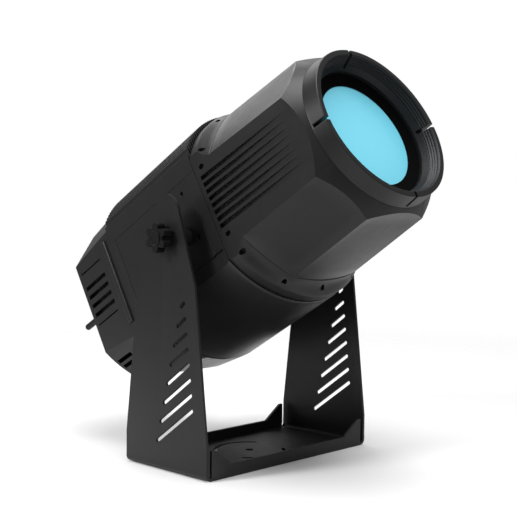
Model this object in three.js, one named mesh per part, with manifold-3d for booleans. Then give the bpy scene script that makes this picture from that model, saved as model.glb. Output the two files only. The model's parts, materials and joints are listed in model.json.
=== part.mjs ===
// Outdoor gobo projector: a finned head that tilts in a slotted U yoke. Millimetres, +Z up, the beam leaves to -Y.
import * as THREE from 'three';
import { mergeVertices } from 'three/addons/utils/BufferGeometryUtils.js';
import Module from 'manifold-3d';

const wasm = await Module();
wasm.setup();

const degree = Math.PI / 180;
const quarter = 90 * degree;
const half = 180 * degree;

// Clearances and cuts
const gap = 0.3;
const overrun = 1;
const runningGap = 0.6;

// Yoke: one sheet bent to a U, with slotted arms and stiffening lips
const armGap = 37;
const yokeDepth = 181;
const yokeSheet = 4;
const yokeBendRadius = 9;
const yokeInnerBend = 5;
const pivotHeight = 349;
const armStraightHeight = 49;
const kneeHeight = 281;
const kneeHalfDepth = 63.5;
const crownRadius = 27;
const crownHeight = 413;
const slotWidth = 6;
const slotCount = 8;
const slotFrontY = -40.3;
const slotFrontZ = 255;
const slotFrontStepY = -2.55;
const slotFrontStepZ = -22.3;
const slotRearY = -34.4;
const slotRearZ = 249.9;
const slotRearStepY = 7.4;
const slotRearStepZ = -29.4;
const baseHoleRadius = 6.5;
const arcSlotRadius = 55;
const arcSlotWidth = 6.5;
const arcSlotSpan = 110 * degree;
const lipHeight = 19.5;
const lipSlit = 2;
const gussetHeight = 44;
const gussetLand = 7;
const gussetRun = 34;
const reliefRadius = 3.2;

// Tilt hardware
const studRadius = 6;
const knobRadius = 22;
const knobLobeDepth = 4.5;
const knobLobes = 6;
const knobThickness = 15;
const knobNeckRadius = 13;
const knobNeckLength = 6;
const knobCapRadius = 11;
const knobCapHeight = 2;
const washerRadius = 14;
const washerThickness = 2.4;
const bossRadius = 13;

// Head: lengths along the beam are measured from the tilt axis, heights from the beam axis
const tiltAngle = 31 * degree;
const beamRise = 12;
const bodyHalfWidth = 138;
const bodyRound = 26;
const bodyWall = 4;
const bodySideWall = 7;
const bodyRear = -166;
const undersideStart = -138;
const undersideAngle = 11.5 * degree;
const splitHeight = 66;
const coverThickness = 3;
const coverDrop = -66;
const coverRear = -152;
const coverFront = 41;
const coverScrewAlong = 23;
const coverScrewUpper = 49;
const coverScrewLower = -24;

// Top heatsink
const finRise = 6;
const finThickness = 2.6;
const finCount = 27;
const finInset = 5;
const trayUnderside = 92;
const trayFloor = 4;

// Barrel: screwed collar, tapering body with side flats, octagonal nose
const collarAlong = 63;
const collarRound = 25;
const collarLength = 32.5;
const collarChamfer = 4;
const collarSlopeStart = 20;
const collarSlopeEnd = 40;
const flatScrewInset = 18;
const roundScrewInset = 27;
const spigotLength = 7.5;
const spigotWall = 2.7;
const barrelRound = 16.5;
const barrelWall = 4;
const facetStart = 55;
const facetStartShare = 0.3;
const barrelLength = 165;
const noseTaper = 7;
const noseRound = 14.5;
const noseConeLength = 23;
const noseConeDrop = 19.5;
const facetHalfAngle = 26 * degree;
const grooveCount = 8;
const grooveWidth = 5;
const grooveTop = 51.5;
const groovePitch = 10.33;
const grooveInset = 8;
const grooveRunout = 0.3;

// Screws
const collarScrewHead = 3.2;
const collarScrewHeadHeight = 2;
const collarScrewShank = 1.7;
const collarScrewLength = 4;
const collarScrewRecess = 3;
const flatScrewUpper = 62;
const flatScrewLower = -50.5;
const roundScrewStep = 28.7 * degree;
const coverScrewHead = 3;
const coverScrewHeadHeight = 1.2;
const coverScrewShank = 1.6;
const coverScrewLength = 4.6;
const coverScrewRecess = 1.4;

// Front optics and hood
const lensInset = 24.3;
const lensEdge = 11;
const lensBelly = 14;
const lensSetback = 9.8;
const lensViewInset = 18.4;
const gasketThickness = 1.5;
const gasketWidth = 9;
const ledgeInset = 10.7;
const ledgeDepth = 6;
const ringHeight = 5;
const ringLip = 1;
const hoodLength = 25.7;
const hoodOuterTaper = 3.3;
const hoodMouth = 1.7;
const hoodFlare = 10.6;
const hoodSlotWidth = 6;
const hoodFlange = 3;
const hoodGrooveCount = 4;
const hoodGroovePitch = 4;
const hoodGrooveDepth = 0.8;

// Rear cap with louvres, stub antenna and cable gland
const capLength = 104;
const capWall = 4;
const capFrontHeight = 90;
const capFrontSlant = 54;
const capFrontTop = 137;
const capRearHeight = 78;
const capRearSlant = 60;
const capRearTop = 134;
const capRearRound = 21;
const capTaper = 1;
const ribThickness = 4;
const ribWidth = 11;
const ribInset = 10;
const ribBottom = -66;
const louvreLength = 58;
const louvreInset = 8;
const louvreHeight = 7;
const louvreSlit = 3;
const louvrePitch = 16;
const louvreTop = 32;
const louvreCount = 4;
const slitTop = 59;
const slitBottom = -33;
const lowLouvreLength = 39;
const lowLouvreInset = 6;
const lowLouvreAngle = 39.5 * degree;
const lowLouvreStep = 4.4 * degree;
const stubRadius = 5.2;
const stubLength = 50;
const stubInset = 23;
const stubHeight = -12;
const stubStemRadius = 3.5;
const stubFootRadius = 9;
const stubFootHeight = 4;
const glandX = 60;
const glandHeight = -95;
const glandRadius = 13;
const glandCapRadius = 11;
const glandNutHeight = 6;
const glandCapHeight = 14;
const glandBore = 4.5;
const glandStemRadius = 9.5;

// Optical chassis and light engine
const chassisEdgeGap = 0.5;
const chassisThickness = 3;
const chassisSideGap = 12;
const chassisRear = -160;
const chassisWideFront = 50;
const tongueHalfWidth = 74;
const tongueSetback = 20.5;
const spreaderHalfWidth = 60;
const spreaderAlong = -118;
const spreaderThickness = 12;
const spreaderFinLength = 17;
const spreaderFinCount = 12;
const spreaderFinThickness = 2;
const spreaderFinHalfHeight = 55;
const ledHalfSize = 30;
const ledThickness = 6;
const emitterRadius = 15;
const emitterHeight = 2;
const tubeRadius = 45;
const tubeWall = 4;
const tubeAlong = -92;
const tubeLength = 30;
const tubeLip = 4;
const tubeLipDepth = 3;
const tubeFootHalfWidth = 12;
const condenserEdge = 6;
const condenserBelly = 8;

// Gobo wheel and its drive
const stageHalfWidth = 74;
const stageTop = 62;
const stageAlong = -30;
const stageThickness = 5;
const hubRadius = 33.5;
const gearModule = 1.5;
const gearTeeth = 60;
const pinionTeeth = 12;
const gearWidth = 6;
const addendumShare = 0.7;
const dedendumShare = 1.0;
const toothTipShare = 0.2;
const toothRootShare = 0.54;
const goboRadius = 30;
const goboThickness = 1.5;
const goboSeatLip = 3;
const goboPetals = 6;
const goboPetalRadius = 5;
const goboPetalOrbit = 17;
const goboSpotRadius = 6;
const motorSize = 28;
const motorLength = 30;
const pinionShaftRadius = 2.5;
const pinionShaftReach = 12;
const meshAngle = 45 * degree;

// Focus carriage on two rods with a lead screw
const rodRadius = 4;
const rodX = 62;
const rodRise = 14.7;
const carriageAlong = 100;
const carriageThickness = 6;
const carriageTopRise = 8;
const cellRadius = 50;
const cellWall = 4;
const cellLength = 16;
const cellLip = 2.5;
const focusLensEdge = 6;
const focusLensBelly = 7;
const screwRadius = 5;
const screwJournal = 3;
const focusMotorLength = 28;
const focusShaftReach = 10;
const bracketThickness = 5;
const bracketTopRise = 14;

// Fan, driver and control board
const fanHalfSize = 50;
const fanDepth = 25;
const fanBore = 46;
const fanHubRadius = 18;
const fanBladeRadius = 44;
const fanBladeCount = 7;
const fanBladeChord = 20;
const fanBladeThickness = 1.8;
const fanBladePitch = 38 * degree;
const fanSpiderWidth = 5;
const fanSpiderDepth = 3;
const fanPinRadius = 3;
const fanPinLength = 8;
const driverHalfWidth = 60;
const driverEdgeGap = 4.7;
const driverRear = -120;
const driverFront = 40;
const boardInset = 38;
const boardThickness = 1.6;
const boardHeight = 75;
const boardRear = -90;
const boardLength = 120;
const relayDepth = 12;
const relayHeight = 20;
const relayLength = 25;

// Facets
const fineSides = 56;
const roundSides = 28;
const smallSides = 12;
const arcSteps = 4;

// Places that follow from the sizes above
const armInner = bodyHalfWidth + armGap;
const armOuter = armInner + yokeSheet;
const bodyRadius = bodyHalfWidth + bodyRound;
const finRadius = bodyRadius + finRise;
const collarRadius = bodyHalfWidth + collarRound;
const barrelRearRadius = bodyHalfWidth + barrelRound;
const noseHalfWidth = bodyHalfWidth - noseTaper;
const noseRadius = noseHalfWidth + noseRound;
const noseFaceRadius = noseRadius - noseConeDrop;
const lensRadius = noseFaceRadius - lensInset;
const lensView = lensRadius - lensViewInset;
const ledgeRadius = lensRadius - ledgeInset;
const coverFloor = bodyHalfWidth - coverThickness - gap;
const collarEnd = collarAlong + collarLength;
const noseAlong = collarEnd + barrelLength;
const noseEnd = noseAlong + noseConeLength;
const hoodRim = noseEnd + gap + hoodLength;
const lensFace = noseEnd - lensSetback;
const barrelInnerHalf = noseHalfWidth - barrelWall;
const lensBack = lensFace - lensEdge;
const ledgeFront = lensBack - gap - gasketThickness - gap;
const capFront = bodyRear - gap;
const capRear = bodyRear - capLength;
const capRearHalf = bodyHalfWidth - capTaper;
const capRearRadius = capRearHalf + capRearRound;
const capRearWidth = bodyHalfWidth - capRearSlant;
const capFrontWidth = bodyHalfWidth - capFrontSlant;
const stubX = stubInset - bodyHalfWidth;
const innerRadius = bodyRadius - bodyWall;
const chassisHalfWidth = bodyHalfWidth - chassisSideGap;
const chassisHeight = -Math.sqrt(innerRadius ** 2 - (chassisHalfWidth + chassisEdgeGap) ** 2);
const driverUnderside = -Math.sqrt((innerRadius - driverEdgeGap) ** 2 - driverHalfWidth ** 2);
const tongueFront = noseAlong - tongueSetback;
const chassisTop = chassisHeight + chassisThickness;
const deck = chassisTop + gap;
const rodHeight = deck + rodRise;
const carriageTop = rodHeight + carriageTopRise;
const bracketTop = rodHeight + bracketTopRise;
const boardX = boardInset - bodyHalfWidth;
const stageFront = stageAlong + stageThickness;
const centreDistance = gearModule * (gearTeeth + pinionTeeth) / 2;
const bracketAlong = tongueFront - bracketThickness - gap;
const fanRear = spreaderAlong - spreaderFinLength - gap - fanDepth;

// Shape helpers
function tidy(geometry) {
  const bare = new THREE.BufferGeometry();
  bare.setAttribute('position', geometry.attributes.position.clone());
  if (geometry.index) bare.setIndex(geometry.index.clone());
  return mergeVertices(bare, 1e-4);
}

function toManifold(geometry) {
  const merged = tidy(geometry);
  const vertProperties = Float32Array.from(merged.attributes.position.array);
  const triVerts = Uint32Array.from(merged.index.array);
  return new wasm.Manifold(new wasm.Mesh({ numProp: 3, vertProperties, triVerts }));
}

function toGeometry(manifold) {
  const result = manifold.getMesh();
  const geometry = new THREE.BufferGeometry();
  geometry.setAttribute('position', new THREE.BufferAttribute(result.vertProperties, 3));
  geometry.setIndex(new THREE.BufferAttribute(result.triVerts, 1));
  return geometry;
}

function combine(method, first, others) {
  return toGeometry(others.reduce((sum, item) => sum[method](toManifold(item)), toManifold(first)));
}

const join = (first, ...others) => combine('add', first, others);
const cut = (first, ...others) => combine('subtract', first, others);
const meet = (first, ...others) => combine('intersect', first, others);

function box(x0, x1, y0, y1, z0, z1) {
  const geometry = new THREE.BoxGeometry(x1 - x0, y1 - y0, z1 - z0);
  return geometry.translate((x0 + x1) / 2, (y0 + y1) / 2, (z0 + z1) / 2);
}

function rod(radius, z0, z1, x = 0, y = 0, sides = smallSides) {
  const geometry = new THREE.CylinderGeometry(radius, radius, z1 - z0, sides);
  return geometry.rotateX(quarter).translate(x, y, (z0 + z1) / 2);
}

function crossRod(radius, x0, x1, y, z, sides = smallSides) {
  return rod(radius, x0, x1, 0, 0, sides).rotateY(quarter).translate(0, y, z);
}

function prism(points, z0, z1, holes = []) {
  const shape = new THREE.Shape(points.map(([x, y]) => new THREE.Vector2(x, y)));
  shape.holes = holes.map((hole) => new THREE.Path(hole.map(([x, y]) => new THREE.Vector2(x, y))));
  return new THREE.ExtrudeGeometry(shape, { depth: z1 - z0, bevelEnabled: false }).translate(0, 0, z0);
}

// An outline of (y, z) points swept along X
function sidePrism(points, x0, x1) {
  const axes = new THREE.Matrix4().makeBasis(
    new THREE.Vector3(0, 1, 0), new THREE.Vector3(0, 0, 1), new THREE.Vector3(1, 0, 0));
  return prism(points, x0, x1).applyMatrix4(axes);
}

// An outline of (x, z) points swept along Y
function frontPrism(points, y0, y1) {
  const axes = new THREE.Matrix4().makeBasis(
    new THREE.Vector3(1, 0, 0), new THREE.Vector3(0, 0, 1), new THREE.Vector3(0, -1, 0));
  return prism(points, -y1, -y0).applyMatrix4(axes);
}

// A closed profile of (radius, z) points turned about Z
function turned(points, sides = roundSides) {
  const profile = [...points, points[0]].map(([radius, z]) => new THREE.Vector2(radius, z));
  const geometry = new THREE.LatheGeometry(profile, sides).rotateX(quarter);
  return THREE.ShapeUtils.isClockWise(profile.slice(0, -1)) ? flipped(geometry) : geometry;
}

function flipped(geometry) {
  const index = geometry.index.array;
  for (let i = 0; i < index.length; i += 3) {
    [index[i], index[i + 1]] = [index[i + 1], index[i]];
  }
  return geometry;
}

function arc(radius, from, to, steps, x = 0, y = 0) {
  const angles = Array.from({ length: steps + 1 }, (_, i) => from + (to - from) * i / steps);
  return angles.map((angle) => [x + radius * Math.cos(angle), y + radius * Math.sin(angle)]);
}

// Barrel section: side flats at a half width, round or flat facets between
function section(radius, halfWidth, flatShare, along) {
  const side = Math.acos(halfWidth / radius);
  const facets = [
    [-side, side, 1, 1],
    [side, quarter - facetHalfAngle, arcSteps, flatShare],
    [quarter - facetHalfAngle, quarter + facetHalfAngle, arcSteps, flatShare],
    [quarter + facetHalfAngle, half - side, arcSteps, flatShare],
    [half - side, half + side, 1, 1],
    [half + side, half + quarter - facetHalfAngle, arcSteps, flatShare],
    [half + quarter - facetHalfAngle, half + quarter + facetHalfAngle, arcSteps, flatShare],
    [half + quarter + facetHalfAngle, half + half - side, arcSteps, flatShare],
  ];
  return facets.flatMap(([from, to, steps, share]) => {
    const middle = (from + to) / 2;
    const reach = Math.cos((to - from) / 2);
    return arc(1, from, to, steps).slice(0, -1).map(([x, y]) => {
      const chord = reach / (x * Math.cos(middle) + y * Math.sin(middle));
      const scale = radius * (1 + share * (chord - 1));
      return [x * scale, y * scale, along];
    });
  });
}

function loft(rings) {
  const count = rings[0].length;
  const vertices = rings.flat(2);
  const last = (rings.length - 1) * count;
  const rearCentre = rings.length * count;
  const frontCentre = rearCentre + 1;
  vertices.push(0, 0, rings[0][0][2], 0, 0, rings[rings.length - 1][0][2]);
  const index = [];
  for (let i = 0; i < count; i += 1) {
    const next = (i + 1) % count;
    for (let start = 0; start < last; start += count) {
      index.push(start + i, start + next, start + count + i);
      index.push(start + next, start + count + next, start + count + i);
    }
    index.push(rearCentre, next, i, frontCentre, last + i, last + next);
  }
  const geometry = new THREE.BufferGeometry();
  geometry.setAttribute('position', new THREE.Float32BufferAttribute(vertices, 3));
  return geometry.setIndex(index);
}

// A lens with a flat rim outside its clear radius; one face may rise in the middle
function lens(radius, clear, rear, front, rearRise, frontRise, sides = roundSides) {
  const steps = Array.from({ length: arcSteps + 1 }, (_, i) => i / arcSteps);
  const rearFace = rearRise ? steps.map((t) => [clear * t, rear - rearRise * (1 - t * t)]) : [[0, rear]];
  const frontFace = frontRise
    ? steps.map((t) => [clear * (1 - t), front + frontRise * (2 * t - t * t)]) : [[0, front]];
  return turned([...rearFace, [radius, rear], [radius, front], ...frontFace], sides);
}

// A screw along Z with its head's top at zero
function screw(head, headHeight, shank, length) {
  return join(rod(head, -headHeight, 0), rod(shank, -length, -headHeight / 2));
}

// Places a piece so that its +Z points outward in the section plane
function outward(angle, distance, height, along) {
  const place = new THREE.Matrix4().makeRotationFromEuler(new THREE.Euler(0, quarter, angle, 'ZYX'));
  return place.setPosition(Math.cos(angle) * distance, height + Math.sin(angle) * distance, along);
}

function finish(color, roughness, metalness) {
  return () => new THREE.MeshStandardMaterial({ color, roughness, metalness });
}

const coat = finish(0x2f2f2f, 0.6, 0.3);
const blackPlastic = finish(0x161616, 0.5, 0);
const blackSteel = finish(0x1a1a1a, 0.4, 0.8);
const steel = finish(0xb8bcc0, 0.35, 1);
const aluminium = finish(0xc2c4c6, 0.4, 1);
const glass = finish(0x9fd8ec, 0.05, 0);
const rubber = finish(0x101010, 0.9, 0);
const ceramic = finish(0xf2efe4, 0.5, 0);
const boardGreen = finish(0x1c4a2e, 0.6, 0);
const brass = finish(0xb08d4a, 0.35, 1);

function piece(parent, name, geometry, material) {
  const mesh = new THREE.Mesh(tidy(geometry), material());
  mesh.name = name;
  parent.add(mesh);
  return mesh;
}

// Yoke
function yokeProfile() {
  const w = armOuter;
  const b = yokeBendRadius;
  const s = yokeInnerBend;
  const top = crownHeight + overrun;
  const outer = [
    [w, top], [-w, top], ...arc(b, half, half + quarter, arcSteps, b - w, b),
    ...arc(b, -quarter, 0, arcSteps, w - b, b),
  ];
  const inner = [
    [armInner, top + overrun], [-armInner, top + overrun],
    ...arc(s, half, half + quarter, arcSteps, s - armInner, yokeSheet + s),
    ...arc(s, -quarter, 0, arcSteps, armInner - s, yokeSheet + s),
  ];
  const y = yokeDepth / 2;
  return cut(frontPrism(outer, -y, y), frontPrism(inner, -y - overrun, y + overrun));
}

function armOutline() {
  const d = yokeDepth / 2;
  const crownCentre = crownHeight - crownRadius;
  const distance = Math.hypot(kneeHalfDepth, crownCentre - kneeHeight);
  const bearing = Math.atan2(kneeHeight - crownCentre, kneeHalfDepth);
  const tangent = bearing + Math.acos(crownRadius / distance);
  return [
    [-d, -overrun], [d, -overrun], [d, armStraightHeight], [kneeHalfDepth, kneeHeight],
    ...arc(crownRadius, tangent, half - tangent, smallSides, 0, crownCentre),
    [-kneeHalfDepth, kneeHeight], [-d, armStraightHeight],
  ];
}

function armSlot(i) {
  const start = new THREE.Vector2(slotFrontY + slotFrontStepY * i, slotFrontZ + slotFrontStepZ * i);
  const end = new THREE.Vector2(slotRearY + slotRearStepY * i, slotRearZ + slotRearStepZ * i);
  const angle = end.clone().sub(start).angle();
  const r = slotWidth / 2;
  const outline = [
    ...arc(r, angle - quarter, angle + quarter, arcSteps, end.x, end.y),
    ...arc(r, angle + quarter, angle + quarter + half, arcSteps, start.x, start.y),
  ];
  return sidePrism(outline, -armOuter - overrun, armOuter + overrun);
}

function arcSlot(middle) {
  const r = arcSlotWidth / 2;
  const from = middle - arcSlotSpan / 2;
  const to = middle + arcSlotSpan / 2;
  const end = (angle) => [arcSlotRadius * Math.cos(angle), arcSlotRadius * Math.sin(angle)];
  const outline = [
    ...arc(arcSlotRadius + r, from, to, smallSides),
    ...arc(r, to, to + half, arcSteps, ...end(to)).slice(1, -1),
    ...arc(arcSlotRadius - r, to, from, smallSides),
    ...arc(r, from + half, from + half + half, arcSteps, ...end(from)).slice(1, -1),
  ];
  return prism(outline, -overrun, yokeSheet + overrun);
}

function lip(y0, y1) {
  const end = armInner - lipSlit;
  const land = end - gussetLand;
  const foot = land - gussetRun;
  return frontPrism([
    [-end, 0], [end, 0], [end, gussetHeight], [land, gussetHeight], [foot, lipHeight],
    [-foot, lipHeight], [-land, gussetHeight], [-end, gussetHeight],
  ], y0, y1);
}

function yokeSolid() {
  const y = yokeDepth / 2;
  const shell = meet(yokeProfile(), sidePrism(armOutline(), -armOuter - overrun, armOuter + overrun));
  const bent = join(shell, lip(-y, yokeSheet - y), lip(y - yokeSheet, y));
  const slots = Array.from({ length: slotCount }, (_, i) => armSlot(i));
  const reliefs = [-1, 1].flatMap((sx) => [-1, 1].map((sy) => rod(reliefRadius, -overrun,
    yokeSheet + yokeInnerBend + overrun, sx * (armInner - lipSlit / 2), sy * (y - yokeSheet))));
  return cut(bent, ...slots, arcSlot(quarter), arcSlot(-quarter), ...reliefs,
    rod(baseHoleRadius, -overrun, yokeSheet + overrun),
    crossRod(studRadius + runningGap, -armOuter - overrun, armOuter + overrun, 0, pivotHeight));
}

// Tilt knob along +X from the arm's outer face
function knobSolid() {
  const base = armOuter + gap;
  const gripStart = base + knobNeckLength;
  const gripEnd = gripStart + knobThickness;
  const middle = knobRadius - knobLobeDepth / 2;
  const count = knobLobes * smallSides / 2;
  const star = Array.from({ length: count }, (_, i) => {
    const angle = 2 * half * i / count;
    const radius = middle + knobLobeDepth / 2 * Math.cos(knobLobes * angle);
    return [radius * Math.cos(angle), radius * Math.sin(angle)];
  });
  return join(sidePrism(star, gripStart, gripEnd),
    crossRod(knobNeckRadius, base, gripStart + overrun, 0, 0, roundSides),
    crossRod(knobCapRadius, gripEnd - overrun, gripEnd + knobCapHeight, 0, 0, roundSides),
    crossRod(studRadius, coverFloor + coverThickness * 2, gripStart + overrun, 0, 0));
}

function washerSolid() {
  const outer = armInner - gap;
  return cut(crossRod(washerRadius, outer - washerThickness, outer, 0, 0, roundSides),
    crossRod(studRadius + runningGap, outer - washerThickness - overrun, outer + overrun, 0, 0));
}

function bossSolid() {
  const start = coverFloor + gap;
  const end = armInner - gap - washerThickness - gap;
  return cut(crossRod(bossRadius, start, end, -beamRise, 0, roundSides),
    crossRod(studRadius + runningGap, start + coverThickness, end + overrun, -beamRise, 0));
}

// Middle body: a round belly with flat sides, open above the split
function bodySection(radius, halfWidth, z0, z1) {
  return loft([section(radius, halfWidth, 0, z0), section(radius, halfWidth, 0, z1)]);
}

function spigot() {
  const outerHalf = bodyHalfWidth - bodyWall - gap;
  const outerRadius = collarRadius - bodySideWall - gap;
  const from = collarAlong - spigotLength;
  const to = collarAlong + spigotLength - gap;
  return cut(bodySection(outerRadius, outerHalf, from, to),
    bodySection(outerRadius - spigotWall, outerHalf - spigotWall, from - overrun, to + overrun));
}

function coverScrewHoles() {
  const reach = bodySideWall + overrun;
  return [0, half].flatMap((angle) => [coverScrewUpper, coverScrewLower].map((height) =>
    rod(coverScrewShank + gap, -reach, overrun).applyMatrix4(
      outward(angle, bodyHalfWidth, height, coverScrewAlong))));
}

// What lies below the flat underside that rises to the rear
function belowUnderside(rise) {
  const low = rise - bodyRadius;
  const end = capRear - overrun;
  return sidePrism([[low, undersideStart], [low - bodyRadius, undersideStart], [low - bodyRadius, end],
    [low + (undersideStart - end) * Math.tan(undersideAngle), end]], -bodyRadius, bodyRadius);
}

function bodySolid() {
  const front = collarAlong - gap;
  const shell = cut(bodySection(bodyRadius, bodyHalfWidth, bodyRear, front), belowUnderside(0));
  const inside = bodySection(innerRadius, bodyHalfWidth - bodySideWall,
    bodyRear - overrun, front + overrun);
  const hollow = cut(shell, cut(inside, belowUnderside(bodyWall)));
  const open = cut(join(hollow, spigot()), box(-collarRadius, collarRadius, splitHeight,
    finRadius * 2, bodyRear - overrun, collarEnd));
  const pockets = [[-bodyHalfWidth - overrun, -coverFloor], [coverFloor, bodyHalfWidth + overrun]];
  return cut(open, ...pockets.map(([x0, x1]) =>
    box(x0, x1, coverDrop, splitHeight + overrun, coverRear, coverFront)), ...coverScrewHoles());
}

function coverSolid(side) {
  const x = [coverFloor + gap, bodyHalfWidth].map((value) => side * value).sort((a, b) => a - b);
  const plate = box(...x, coverDrop + gap, splitHeight, coverRear + gap, coverFront - gap);
  const recesses = [coverScrewUpper, coverScrewLower].map((height) =>
    rod(coverScrewHead + gap, -coverScrewRecess, overrun).applyMatrix4(
      outward(side > 0 ? 0 : half, bodyHalfWidth, height, coverScrewAlong)));
  return cut(plate, crossRod(bossRadius + gap, -armInner, armInner, -beamRise, 0, roundSides),
    ...recesses, ...coverScrewHoles());
}

// Top heatsink: a tray whose fins end on the round silhouette
function heatsinkSolid() {
  const front = collarAlong - gap;
  const w = bodyHalfWidth;
  const inner = w - bodySideWall;
  const bottom = splitHeight + gap;
  const floor = trayUnderside + trayFloor;
  const run = 2 * (w - finInset) - finThickness;
  const comb = Array.from({ length: finCount }, (_, i) => w - finInset - run * i / (finCount - 1))
    .flatMap((x) => [[x, floor], [x, finRadius], [x - finThickness, finRadius], [x - finThickness, floor]]);
  const outline = [
    [inner, bottom], [w, bottom], [w, floor], ...comb, [-w, floor], [-w, bottom],
    [-inner, bottom], [-inner, trayUnderside], [inner, trayUnderside],
  ];
  const round = rod(finRadius, bodyRear - overrun, front + overrun, 0, 0, fineSides);
  const tray = meet(prism(outline, bodyRear, front), round);
  const upper = box(-w, w, bottom, finRadius, bodyRear, collarEnd);
  return join(tray, meet(spigot(), upper));
}

// Barrel housing with its collar
function screwSeats() {
  const share = (roundScrewInset - collarSlopeStart) / (collarSlopeEnd - collarSlopeStart);
  const roundDistance = THREE.MathUtils.lerp(collarRadius, barrelRearRadius, share);
  const flats = [0, half].flatMap((angle) => [flatScrewUpper, flatScrewLower].map((height) =>
    [angle, bodyHalfWidth, height, collarAlong + flatScrewInset]));
  const rounds = [quarter, -quarter].flatMap((middle) => [-2, -1, 0, 1, 2].map((i) =>
    [middle + roundScrewStep * i, roundDistance, 0, collarAlong + roundScrewInset]));
  return [...flats, ...rounds];
}

function grooves() {
  const bottom = noseHalfWidth + grooveRunout;
  return Array.from({ length: grooveCount }, (_, i) => grooveTop - groovePitch * i).flatMap((height) => {
    const y0 = height - grooveWidth / 2;
    const y1 = height + grooveWidth / 2;
    const z0 = collarAlong + grooveInset;
    return [box(bottom, bodyHalfWidth + overrun, y0, y1, z0, noseAlong),
      box(-bodyHalfWidth - overrun, -bottom, y0, y1, z0, noseAlong)];
  });
}

function barrelSolid() {
  const facetAlong = collarEnd + facetStart;
  const blend = facetStart / (noseAlong - collarEnd);
  const facetRadius = THREE.MathUtils.lerp(barrelRearRadius, noseRadius, blend);
  const facetHalf = THREE.MathUtils.lerp(bodyHalfWidth, noseHalfWidth, blend);
  const slopeEnd = collarAlong + collarSlopeEnd;
  const slopeShare = (slopeEnd - collarEnd) / (noseAlong - collarEnd);
  const slopeHalf = THREE.MathUtils.lerp(bodyHalfWidth, noseHalfWidth, slopeShare);
  const collar = loft([
    section(collarRadius - collarChamfer, bodyHalfWidth, 0, collarAlong),
    section(collarRadius, bodyHalfWidth, 0, collarAlong + collarChamfer),
    section(collarRadius, bodyHalfWidth, 0, collarAlong + collarSlopeStart),
    section(barrelRearRadius, slopeHalf, 0, slopeEnd),
  ]);
  const skin = loft([
    section(barrelRearRadius, bodyHalfWidth, 0, collarEnd - collarChamfer),
    section(facetRadius, facetHalf, facetStartShare, facetAlong),
    section(noseRadius, noseHalfWidth, 1, noseAlong),
    section(noseRadius, noseHalfWidth, 1, noseEnd),
  ]);
  const slope = (noseRadius - noseFaceRadius) / noseConeLength;
  const shoulder = noseAlong - (finRadius - noseRadius) / slope;
  const limit = turned([[0, collarAlong - overrun], [finRadius, collarAlong - overrun], [finRadius, shoulder],
    [noseFaceRadius, noseEnd], [0, noseEnd]], fineSides);
  const recess = bodySection(collarRadius - bodySideWall, bodyHalfWidth - bodyWall,
    collarAlong - overrun, collarAlong + spigotLength);
  const hollow = loft([
    section(barrelRearRadius - barrelWall, barrelInnerHalf, 0, collarAlong - overrun),
    section(barrelRearRadius - barrelWall, barrelInnerHalf, 0, collarEnd - collarChamfer),
    section(facetRadius - barrelWall, barrelInnerHalf, facetStartShare, facetAlong),
    section(noseRadius - barrelWall, barrelInnerHalf, 1, ledgeFront - ledgeDepth),
  ]);
  const seats = screwSeats().flatMap(([angle, distance, height, along]) => {
    const place = outward(angle, distance, height, along);
    const pilot = rod(collarScrewShank + gap, -collarScrewRecess - collarScrewLength, overrun);
    return [rod(collarScrewHead + gap, -collarScrewRecess, overrun).applyMatrix4(place),
      pilot.applyMatrix4(place)];
  });
  return cut(meet(join(collar, skin), limit), recess, hollow, ...grooves(), ...seats,
    rod(ledgeRadius, noseAlong - bodySideWall * 2, noseEnd + overrun, 0, 0, fineSides),
    rod(lensRadius + gap, ledgeFront, noseEnd + overrun, 0, 0, fineSides));
}

// Hood: a slotted conical ring with fine grooves inside its rim
function hoodSolid() {
  const rear = noseEnd + gap;
  const inner = lensRadius + hoodMouth;
  const outer = noseFaceRadius;
  const wall = (along) => inner + hoodFlare * (along - rear) / hoodLength;
  const rings = Array.from({ length: hoodGrooveCount }, (_, i) => hoodRim - hoodGroovePitch * (i + 1))
    .flatMap((along) => [[wall(along), along], [wall(along) + hoodGrooveDepth, along - hoodGroovePitch / 2]]);
  const ring = turned([[inner, rear], [outer, rear], [outer - hoodOuterTaper, hoodRim],
    [inner + hoodFlare, hoodRim], ...rings], fineSides);
  const w = hoodSlotWidth / 2;
  const r = outer + overrun;
  return cut(ring, box(-w, w, -r, r, rear + hoodFlange, hoodRim + overrun),
    box(-r, r, -w, w, rear + hoodFlange, hoodRim + overrun));
}

function lensRingSolid() {
  const rear = lensFace + gap;
  return turned([[lensView, rear], [lensRadius, rear], [lensRadius, rear + ringHeight],
    [lensView, rear + ringLip]], fineSides);
}

function frontLensSolid() {
  return lens(lensRadius, ledgeRadius - gap * 2, lensBack, lensFace, lensBelly, 0, fineSides);
}

function gasketSolid() {
  const front = lensBack - gap;
  return turned([[lensRadius - gasketWidth, front - gasketThickness], [lensRadius, front - gasketThickness],
    [lensRadius, front], [lensRadius - gasketWidth, front]], fineSides);
}

// Rear cap: slanted upper corners, a round belly with a flat underside, louvres
function capRing(halfWidth, height, width, top, radius, inset, along) {
  const w = halfWidth - inset;
  const t = top - inset;
  const h = height - inset / 2;
  const x = width - inset / 2;
  const side = Math.acos(w / (radius - inset));
  const belly = arc(radius - inset, half + side, half + half - side, smallSides);
  return [[w, h], [x, t], [-x, t], [-w, h], ...belly].map(([px, py]) => [px, py, along]);
}

function capBody(inset, z0, z1) {
  const body = loft([
    capRing(capRearHalf, capRearHeight, capRearWidth, capRearTop, capRearRadius, inset, z0),
    capRing(bodyHalfWidth, capFrontHeight, capFrontWidth, capFrontTop, bodyRadius, inset, z1),
  ]);
  return cut(body, belowUnderside(inset));
}

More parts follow.
